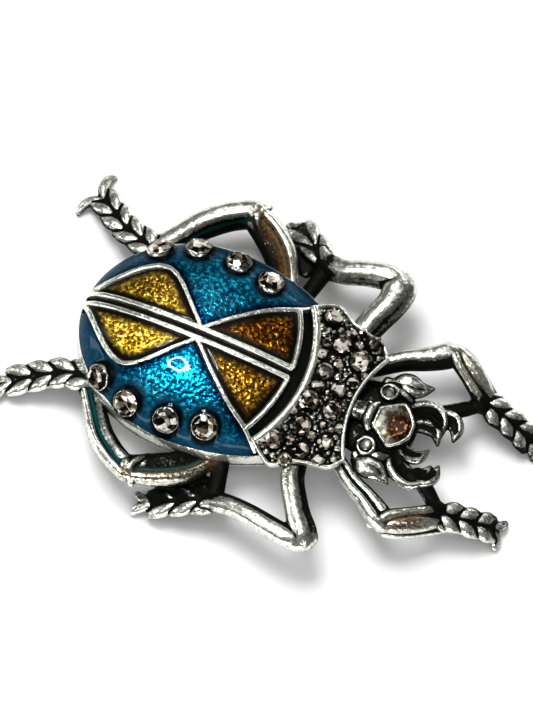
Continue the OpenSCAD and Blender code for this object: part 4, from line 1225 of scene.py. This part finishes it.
pools = []
for name, (stations, aside, radius, strength) in FLOORS.items():
    rows, left, right = SCOOPS[name]
    floor_line = np.array(rows)[stations] + [0, aside, 0.3, 0, 0, 0]
    pools += [(line, radius, strength) for line in sided(floor_line, left, right)]
for rows, radius, strength in HEAD_POOLS:
    pools += [(line, radius, strength) for line in sided(rows)]
pools.append(THROAT_POOL)
mark_hollows(head, sharp=[HEAD_LINE])
co = points_of(head)
# Painted shade under the head: points below UNDERSIDE are painted darker, more the lower they lie.
below = np.clip((UNDERSIDE - co[:, 2]) / 0.6, 0, 1) * 0.6
keep_number(head, "pool", np.maximum(lines_near(co, pools), below))
print("head:", len(head.data.polygons), "faces,", len(pools), "pools")

# %% [markdown]
# On the legs the numbers follow the bands. One number marks the tops that face
# up: fingers and cloth have rubbed them to a soft shine, and they are also
# painted a little lighter, as painted light from above. "teal" marks the
# blue-green stain in the seams of the hind legs, and "gold" the brown one on
# the front pillows and the hind thighs. Painted shade darkens the faces of the
# barbs that turn towards the claws, in the gaps between them.

# %% Fuse the legs
FOOT_NAMES = ("front", "mid", "hind")


def foot_axes(tag, lift, radius, strength):
    return [(BANDS[f"{name}_foot_{tag}_axis"] + [0, 0, lift], radius, strength) for name in FOOT_NAMES]


def leg_pools(tag):
    pools = []
    for name in LEG_ROWS:
        *_, dark, seam = build_of(name, tag)
        clear_of_knee = slice(None, -4) if "thigh" in name else slice(5, None)
        # Painted shade on the inner band, the side that faces the body.
        pools.append((BANDS[f"{name}_{tag}_inner"][clear_of_knee] + [0, 0, 0.5], 0.95, dark))
        pools.append((BANDS[f"{name}_{tag}_seam"], 0.32, seam))
    pools += foot_axes(tag, -0.3, 0.66, 1.2)
    pools.append((BANDS[f"mid_foot_{tag}_inside"], 0.75 if tag == "left" else 1.1, 1.4))
    for name, radius, strength in (("web", 1.0, 1.2), ("post", 1.1, 1.3), ("link", 1.0, 1.2)):
        pools.append((BANDS[f"{name}_{tag}"], radius, strength))
    return pools


# Painted shade: the faces of the barbs that turn towards the claws are darkened.
def barb_shade(piece, axes):
    co, normal = points_of(piece), normals_of(piece)
    steep = np.zeros(len(co), np.float32)
    piece.data.attributes["steep"].data.foreach_get("value", steep)
    for line, _, _ in axes:
        facing = normal @ unit((line[-1] - line[0]) * np.array([1, 1, 0]))
        steep += np.clip(facing * 1.6 - 0.15, 0, 0.6) * lines_near(co, [(line, 2.2, 1.0)])
    keep_number(piece, "steep", steep)


for tag, sign in SIDES:
    piece = fused(legs[tag], LEG_VOXEL)
    axes = foot_axes(tag, 0, 2.2, 1.0)
    # The painted shade is lifted on the outer band of the left middle shin, so that side is painted lighter.
    shade_lifted = [(BANDS[f"mid_shin_{tag}_outer"] - [0, 0, 0.3], 2.0, 0.85 if tag == "left" else 0.0)]
    mark_hollows(piece, pools=leg_pools(tag), sharp=axes, shade_lifted=shade_lifted)
    barb_shade(piece, axes)
    co, normal = points_of(piece), normals_of(piece)
    # Up-facing tops, more along the feet: partly wear, partly painted light that makes them a little lighter.
    keep_number(piece, "worn", np.clip((normal[:, 2] - 0.3) / 0.5, 0, 1) * (0.4 + 0.5 * lines_near(co, axes)))
    seams = [(BANDS[f"{name}_{tag}_seam"] - [0, 0, 0.1], 0.5, 1.0) for name in ("hind_thigh", "hind_shin")]
    keep_number(piece, "teal", lines_near(co, seams))
    pillow = FRONT_SHIN["front_pillow"][1:3, :3] * np.array([1, sign, 1]) + [0, 0, 0.5]
    stains = [(pillow, 0.9, 0.7 if tag == "left" else 1.4), (BANDS[f"hind_thigh_{tag}_rust"], 0.6, 1.5)]
    keep_number(piece, "gold", lines_near(co, stains))
print("legs fused:", [len(piece.data.polygons) for piece in legs.values()])

# %% Hollows of the other metal
for piece in (cell_walls, shell, cups, edge):
    mark_hollows(piece, fine=2, broad=6)
mark_hollows(grains, fine=1, broad=2)
keep_one(cups, "pool", 0.2)
keep_one(grains, "pool", 0.2)
keep_one(tray, "cavity", 1.0)
keep_one(tray, "pool", 2.0)
for piece in (cell_walls, edge, shell):
    keep_one(piece, "worn", 0.6)
for piece in (cell_walls, edge, grains, shell):
    keep_one(piece, "steep", 0.0)
# Painted shade on the cups: their faces turned away from LIT_FROM are darkened.
LIT_FROM = unit([-0.55, -0.5, 0.67])
keep_number(cups, "steep", np.clip((0.4 - normals_of(cups) @ LIT_FROM) / 0.5, 0, 1))
co = points_of(shell)
span = np.where(co[:, 0] > 0, NOSE_L, TAIL_L)
depth = (1 - np.hypot(co[:, 0] / span, co[:, 1] / HALF_W)) * HALF_W
inside_rim = depth > rim_width(np.arctan2(co[:, 1], co[:, 0])) + 0.08
keep_number(shell, "pool", np.where(inside_rim, 2.0, 0.0))
print("shell points inside the rim:", int(inside_rim.sum()))

# %% [markdown]
# ## Finishes
# Shader nodes are easier to read as sums. A wire stands for the output of a
# node, and adding or multiplying wires places the Math nodes for it. Every other
# node comes from one method, which takes its kind, its settings and its inputs.

# %% Wires and finishes
class Wire:
    def __init__(self, finish, socket):
        self.finish = finish
        self.socket = socket

    def _math(self, operation, *values, clamp=False):
        settings = {"operation": operation, "use_clamp": clamp}
        return self.finish.node("ShaderNodeMath", settings, dict(enumerate(values)))

    def __add__(self, other):
        return self._math("ADD", self, other)

    def __sub__(self, other):
        return self._math("SUBTRACT", self, other)

    def __mul__(self, other):
        return self._math("MULTIPLY", self, other)

    def __rsub__(self, other):
        return self._math("SUBTRACT", other, self)

    __radd__ = __add__
    __rmul__ = __mul__

    def clamped(self):
        return self._math("ADD", self, 0.0, clamp=True)

    def step(self, low, high):
        return self.finish.node("ShaderNodeMapRange", {"interpolation_type": "SMOOTHSTEP"},
                                {0: self, 1: low, 2: high, 3: 0.0, 4: 1.0})


class Finish:
    def __init__(self, name, **fixed):
        self.material = bpy.data.materials.new(name)
        self.material.use_nodes = True
        self.tree = self.material.node_tree
        self.shader = self.tree.nodes["Principled BSDF"]
        for key, value in fixed.items():
            self.shader.inputs[key.replace("_", " ")].default_value = value

    def node(self, kind, settings=None, sockets=None, output=0):
        made = self.tree.nodes.new(kind)
        for key, value in (settings or {}).items():
            if key == "stops":
                ramp = made.color_ramp
                ramp.elements.remove(ramp.elements[1])
                ramp.elements[0].position, ramp.elements[0].color = value[0][0], (*value[0][1], 1)
                for place, colour in value[1:]:
                    ramp.elements.new(place).color = (*colour, 1)
            else:
                setattr(made, key, value)
        for key, value in (sockets or {}).items():
            if isinstance(value, Wire):
                self.tree.links.new(value.socket, made.inputs[key])
            else:
                made.inputs[key].default_value = value
        return Wire(self, made.outputs[output])

    def here(self):
        return self.node("ShaderNodeTexCoord", output="Object")

    def number(self, name):
        return self.node("ShaderNodeAttribute", {"attribute_name": name}, output="Fac")

    def noise(self, millimetres, detail=2.0, roughness=0.5, distortion=0.0):
        return self.node("ShaderNodeTexNoise", {}, {
            "Vector": self.here(), "Scale": 1000 / millimetres, "Detail": detail, "Roughness": roughness,
            "Distortion": distortion})

    def first_of(self, colour):
        return self.node("ShaderNodeSeparateColor", {}, {0: colour}, output=0)

    def cells(self, scale):
        return self.node("ShaderNodeTexVoronoi", {}, {"Vector": self.here(), "Scale": scale}, output="Color")

    def mix(self, a, b, factor):
        a, b = [colour if isinstance(colour, Wire) else (*colour, 1.0) for colour in (a, b)]
        return self.node("ShaderNodeMix", {"data_type": "RGBA"}, {0: factor, 6: a, 7: b}, output=2)

    def bump(self, height, distance, strength):
        sockets = {"Height": height, "Distance": distance, "Strength": strength}
        normal = self.node("ShaderNodeBump", {}, sockets)
        self.tree.links.new(normal.socket, self.shader.inputs["Normal"])

    def feed(self, **wires):
        for key, wire in wires.items():
            self.tree.links.new(wire.socket, self.shader.inputs[key.replace("_", " ")])
        return self.material


def coat(piece, material):
    piece.data.materials.clear()
    piece.data.materials.append(material)


# %% [markdown]
# ### Antique silver
# The brooch is plated bright, then blackened, then rubbed. So the ridges shine,
# the hollows are nearly black, and the flats between are grey and speckled.
# A sum of patina and painted shade adds the numbers of each point, with two
# noises that break its edges. Where it is high the metal is black, and where it
# is lower it is grey; on faces turned away from above and outside, on the inner
# bands of the legs and under the head, that black and grey is painted shade.
# Teal and brown stains lie over that, and worn tops are a little less
# mirror-like and are painted a little lighter, as painted light.

# %% Antique silver
silver = Finish("antique_silver", Specular_IOR_Level=0.08)
hollow = silver.number("cavity")
pool = silver.number("pool")
speck = silver.noise(0.3, 3.0, 0.65)
blotch = silver.noise(1.1, 3.0, 0.6)
steep = silver.number("steep")
worn = silver.number("worn")
# Patina in hollows and pools, and painted shade on faces turned away from above and outside.
shape_patina_and_shade = hollow * 0.45 + hollow.clamped() * 0.65 + steep * 1.15 + pool * 1.3
# Worn tops are painted a little lighter, as painted light.
patina_and_shade = shape_patina_and_shade + (speck - 0.5) * 1.1 + (blotch - 0.5) * 0.7 - worn * 0.12
black = patina_and_shade.step(0.38, 0.66)
grey = (patina_and_shade + (speck - 0.5) * 0.9).step(-0.5, 0.4)
teal_stain = silver.number("teal") * (blotch + hollow * 0.5).step(0.4, 0.62)
brown_stain = silver.number("gold") * speck.step(0.3, 0.7)
tone = silver.mix((0.86, 0.88, 0.79), (0.22, 0.225, 0.2), grey)
tone = silver.mix(tone, (0.004, 0.004, 0.003), black)
tone = silver.mix(tone, (0.0, 0.13, 0.14), teal_stain)
tone = silver.mix(tone, (0.19, 0.098, 0.035), brown_stain)
silver.bump(speck * 0.3 + silver.noise(0.9, 2.0) * 1.0, 0.00014, 0.8)
metal = (1 - black * 0.9) * (1 - worn * 0.22)
silver.feed(Base_Color=tone, Metallic=metal, Roughness=0.19 + grey * 0.1 + black * 0.2)
print("antique silver:", len(silver.tree.nodes), "nodes")

# %% [markdown]
# ### Blue and amber enamel
# The metal under the glass is hammered, and the glass is clear. So the colour
# sits on a bumpy metallic base, and a smooth clear coat lies over it. The high
# spots of the bumps are also painted brighter, as painted glints. Near the
# walls the glass is darker. Near the rim and the cups the blue is thick and
# milky, so the hammering is dimmer there, and a dark ring of painted shade lies
# round each cup.

# %% Blue enamel
blue = Finish("blue_enamel", Specular_IOR_Level=0.05, Coat_Weight=0.15, Coat_Roughness=0.04, Coat_IOR=1.5)
wall_gap, rim_gap, cup_gap = blue.number("wall"), blue.number("rim"), blue.number("cup")
hammer = blue.noise(0.42, 1.0, 0.5)
deep = (wall_gap + (blue.noise(1.2) - 0.5) * 0.5).step(0.05, 1.3)
milky = 1 - (rim_gap + (blue.noise(2.0) - 0.5) * 1.2).step(0.9, 3.1) * cup_gap.step(0.2, 1.3)
painted_cup_shade = 1 - cup_gap.step(0.2, 0.65)
colour = blue.mix((0.0, 0.012, 0.04), (0.0, 0.07, 0.14), deep)
# Painted glint: the high spots of the hammering are painted bright cyan.
colour = blue.mix(colour, (0.01, 0.4, 0.56), (hammer - 0.38).step(0.0, 0.4) * deep)
colour = blue.mix(colour, (0.008, 0.04, 0.075), milky * 0.9)
# Painted shade: a dark ring round each cup.
colour = blue.mix(colour, (0.001, 0.003, 0.006), painted_cup_shade)
blue.bump(hammer * (1 - milky * 0.6), 0.00016, 1.0)
blue.feed(Base_Color=colour, Metallic=0.95 - milky * 0.3, Roughness=0.26 + milky * 0.2)

# %% [markdown]
# The amber cells share one finish. The number "dusk" turns it from bright gold
# in the rear petals to brown in the front ones. It is also higher in the left
# cells, as painted shade, and it grows towards the tail, so the cells darken
# there.

# %% Amber enamel
amber = Finish("amber_enamel", Specular_IOR_Level=0.05, Coat_Weight=0.1, Coat_Roughness=0.05, Coat_IOR=1.5)
wall_gap = amber.number("wall")
pebble = amber.noise(0.38, 1.0, 0.5, 0.2)
deep = (wall_gap + (amber.noise(0.5) - 0.5) * 0.4).step(0.32, 1.05)
dusky = amber.number("dusk")
colour = amber.mix((0.27, 0.15, 0.012), (0.05, 0.018, 0.002), dusky)
# Painted glint: the high spots of the pebbled base are painted a brighter gold.
pebble_glint = amber.mix((1.0, 0.8, 0.13), (0.36, 0.155, 0.013), dusky)
colour = amber.mix(colour, pebble_glint, (pebble - 0.44).step(0.0, 0.3))
colour = amber.mix((0.006, 0.005, 0.003), colour, deep)
amber.bump(pebble * (0.1 + deep * 0.9), 0.0002, 1.0)
amber.feed(Base_Color=colour, Metallic=0.3 + deep * 0.6, Roughness=0.4 - deep * 0.14)
print("enamels:", len(blue.tree.nodes), len(amber.tree.nodes), "nodes")

# %% [markdown]
# The head plate is mottled grey metal with a round brown spot, and copper flakes
# glitter in the spot.

# %% Head and eye fills
copper = Finish("head_enamel", Specular_IOR_Level=0.2, Coat_Weight=0.5, Coat_Roughness=0.05, Roughness=0.3)
SPOT = (0.0133, -0.0004, 0.0052)
to_spot = {0: copper.here(), 1: SPOT}
from_spot = copper.node("ShaderNodeVectorMath", {"operation": "DISTANCE"}, to_spot, "Value")
centre = 1 - (from_spot * 1000 + (copper.noise(0.9) - 0.5) * 0.8).step(1.0, 1.9)
spark = copper.first_of(copper.cells(5200))
rim_tone = copper.mix((0.3, 0.29, 0.25), (0.06, 0.055, 0.045), copper.noise(0.7, 3.0).step(0.4, 0.62))
tone = copper.mix(rim_tone, (0.035, 0.014, 0.005), centre)
tone = copper.mix(tone, (0.75, 0.33, 0.09), (spark - 0.76).step(0.0, 0.2) * centre)
copper.bump(spark * centre, 0.00005, 0.8)
copper.feed(Base_Color=tone, Metallic=0.8 + centre * 0.15)
pearl = Finish("eye_enamel", Coat_Weight=1.0, Coat_Roughness=0.05, Metallic=0.4, Roughness=0.3)
cloud = pearl.noise(0.6, 2.0).step(0.35, 0.7)
pearl.feed(Base_Color=pearl.mix((0.05, 0.045, 0.035), (0.2, 0.19, 0.17), cloud))
print("head and eyes:", len(copper.tree.nodes), len(pearl.tree.nodes), "nodes")

# %% [markdown]
# ### Cut glass
# A foiled stone is a set of small mirrors under smoky glass. What they mirror
# is painted into the colour: each facet has its own grey, from nearly black to
# silver, mixed with cells and a cloud, and a thin bright coat. The stones of
# the collar are browner and darker than those of the wing case.

# %% Smoky stones
def smoky(name, low, middle, high):
    glass = Finish(name, Coat_Weight=0.6, Coat_Roughness=0.02, Coat_IOR=1.6, Roughness=0.12)
    facet = glass.number("facet")
    cloud = glass.noise(0.5, 2.0)
    # Painted reflection: the facet's grey, mixed with cells and a cloud.
    value = facet * 0.45 + glass.first_of(glass.cells(1500)) * 0.45 + cloud * 0.1
    stops = [(0.0, low), (0.38, low), (0.46, middle), (0.57, middle), (0.65, high), (1.0, high)]
    tone = glass.node("ShaderNodeValToRGB", {"stops": stops}, {0: value})
    glass.feed(Base_Color=tone, Metallic=1 - value.step(0.35, 0.7) * 0.75)
    return glass.material


smoky_stone = smoky("smoky_stone", (0.012, 0.01, 0.007), (0.28, 0.23, 0.17), (0.95, 0.93, 0.85))
collar_stone = smoky("collar_stone", (0.016, 0.01, 0.006), (0.22, 0.18, 0.14), (0.66, 0.63, 0.56))
steel = Finish("pin_steel", Metallic=1.0)
brush = steel.noise(0.3, 3.0)
steel.bump(brush, 0.00003, 0.4)
steel.feed(Base_Color=steel.mix((0.3, 0.3, 0.3), (0.6, 0.6, 0.58), brush), Roughness=0.25 + brush * 0.2)
print("stones and pin:", len(smoky_stone.node_tree.nodes), len(steel.tree.nodes), "nodes")

# %% [markdown]
# ## Hand over
# Every piece gets its finish, goes to metres, rides on the brooch's one body
# and hides the CAD node it stands for. The left stones lie in shade on the real
# one, so they get the darker glass of the collar.

# %% Finishes on, pieces over
# The left cells get more than the right ones: painted shade.
DUSK = {"rear_left": 0.25, "rear_right": 0.0, "front_left": 1.0, "front_right": 0.8}


def dress(piece, material, slot, *nodes, angle=40):
    coat(piece, material)
    hand_over(piece, slot, *nodes, angle=angle)


for piece in (head, legs["left"], legs["right"], shell, cell_walls, cups, tray, edge):
    dress(piece, silver.material, "silver", "casting", angle=50)
dress(grains, silver.material, "silver", "casting", angle=60)
for tag, _ in SIDES:
    dress(fills[f"blue_{tag}"], blue.material, "blue_enamel", f"enamel_blue_{tag}")
    for kind in ("rear", "front"):
        piece = fills[f"{kind}_{tag}"]
        # Darker towards the tail.
        behind = np.clip((-4.5 - points_of(piece)[:, 0]) / 4, 0, 1)
        keep_number(piece, "dusk", DUSK[f"{kind}_{tag}"] + 0.15 * behind)
        dress(piece, amber.material, "amber_enamel", f"enamel_{kind}_{tag}")
    dress(eye_fills[tag], pearl.material, "eye_enamel", f"enamel_eye_{tag}")
dress(head_fill, copper.material, "head_enamel", "enamel_head")
for tag, stone in stones.items():
    glass = collar_stone if tag.startswith("left") else smoky_stone
    dress(stone, glass, "smoky_stone", f"stone_{tag}", angle=1)
dress(pave, collar_stone, "collar_stone", "pave_stones", angle=1)
coat(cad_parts["pin_back"], steel.material)

# %% [markdown]
# ## Floor and light
# The brooch lies on a pale floor. Small shiny things show the room more than
# themselves, so the light is made of soft boxes with dark between them. The key
# and the wide fill light the floor and lay the shadow in front, but the metal
# doesn't mirror them. Low strips all round give the edges of the legs their
# long bright lines. Small disks show in reflections alone, as glints, and so
# does a ring of tiny lamps: the enamel shows it as a small bright ring.

# %% Floor
bpy.ops.object.select_all(action="DESELECT")
bpy.ops.mesh.primitive_plane_add(size=3, location=(0, 0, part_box("casting")[0].z))
floor = bpy.context.object
floor.name = "floor"
pale = Finish("floor", Roughness=0.9, Specular_IOR_Level=0.1)
pale.feed(Base_Color=pale.mix((0.9, 0.9, 0.9), (0.92, 0.92, 0.92), pale.noise(8.0)))
coat(floor, pale.material)
print("floor at", round(floor.location.z, 5))


# %% Soft boxes and disks
MIDDLE = Vector((0, 0, 0.004))


def lamp(name, place, size, power):
    light = bpy.data.lights.new(name, "AREA")
    if isinstance(size, tuple):
        light.shape, light.size, light.size_y = "RECTANGLE", *size
    else:
        light.shape, light.size = "DISK", size
    light.energy = power
    made = bpy.data.objects.new(name, light)
    bpy.context.scene.collection.objects.link(made)
    made.location = place
    made.rotation_euler = (MIDDLE - Vector(place)).to_track_quat("-Z", "Y").to_euler()
    return made


lamp("key", (-0.19, 0.2, 0.5), (0.26, 0.26), 2.2).visible_glossy = False
lamp("fill", (0.1, 0.1, 0.9), (1.2, 1.2), 3.7).visible_glossy = False
STRIPS = {"low_far": ((0.1, 0.6, 0.16), (0.5, 0.08), 0.5), "left": ((-0.5, -0.1, 0.2), (0.08, 0.25), 0.5),
          "front": ((0.3, -0.5, 0.2), (0.35, 0.07), 0.8), "near": ((-0.1, -0.5, 0.12), (0.45, 0.06), 0.8)}
for name, (place, size, power) in STRIPS.items():
    lamp(name, place, size, power)
GLINTS = {"far": ((-0.15, 0.27, 0.4), 0.26, 0.24), "front": ((0.14, 0.12, 0.46), 0.16, 0.1),
          "top": ((-0.06, 0.14, 0.48), 0.2, 0.075), "near": ((-0.2, -0.2, 0.42), 0.18, 0.12)}
for name, (place, size, power) in GLINTS.items():
    lamp(f"glint_{name}", place, size, power).visible_diffuse = False

# %% The ring of tiny lamps
RING_LAMPS, RING_R, RING_AWAY = 18, 0.022, 0.3
RING_LAMP_D, RING_LAMP_POWER = 0.009, 0.036
FLANK_SPOT, MIRROR_RAY = Vector((-0.0087, -0.0038, 0.0083)), Vector((-0.214, -0.026, 0.977))
ring_at = FLANK_SPOT + MIRROR_RAY * RING_AWAY
for k in range(RING_LAMPS):
    q = math.radians(360 * k / RING_LAMPS)
    place = ring_at + Vector((RING_R * math.cos(q), RING_R * math.sin(q), 0))
    lamp(f"ring_{k}", place, RING_LAMP_D, RING_LAMP_POWER).visible_diffuse = False
print("lamps:", len(bpy.data.lights))

# %% The room and the picture's contrast
ROOM_COLOUR, ROOM_POWER = (0.97, 1.0, 0.95, 1), 0.105
world = bpy.data.worlds.new("room")
bpy.context.scene.world = world
world.use_nodes = True
background = world.node_tree.nodes["Background"]
background.inputs["Color"].default_value = ROOM_COLOUR
background.inputs["Strength"].default_value = ROOM_POWER
bpy.context.scene.view_settings.view_transform = "Standard"
bpy.context.scene.view_settings.look = "Medium High Contrast"
print("room light:", ROOM_POWER)
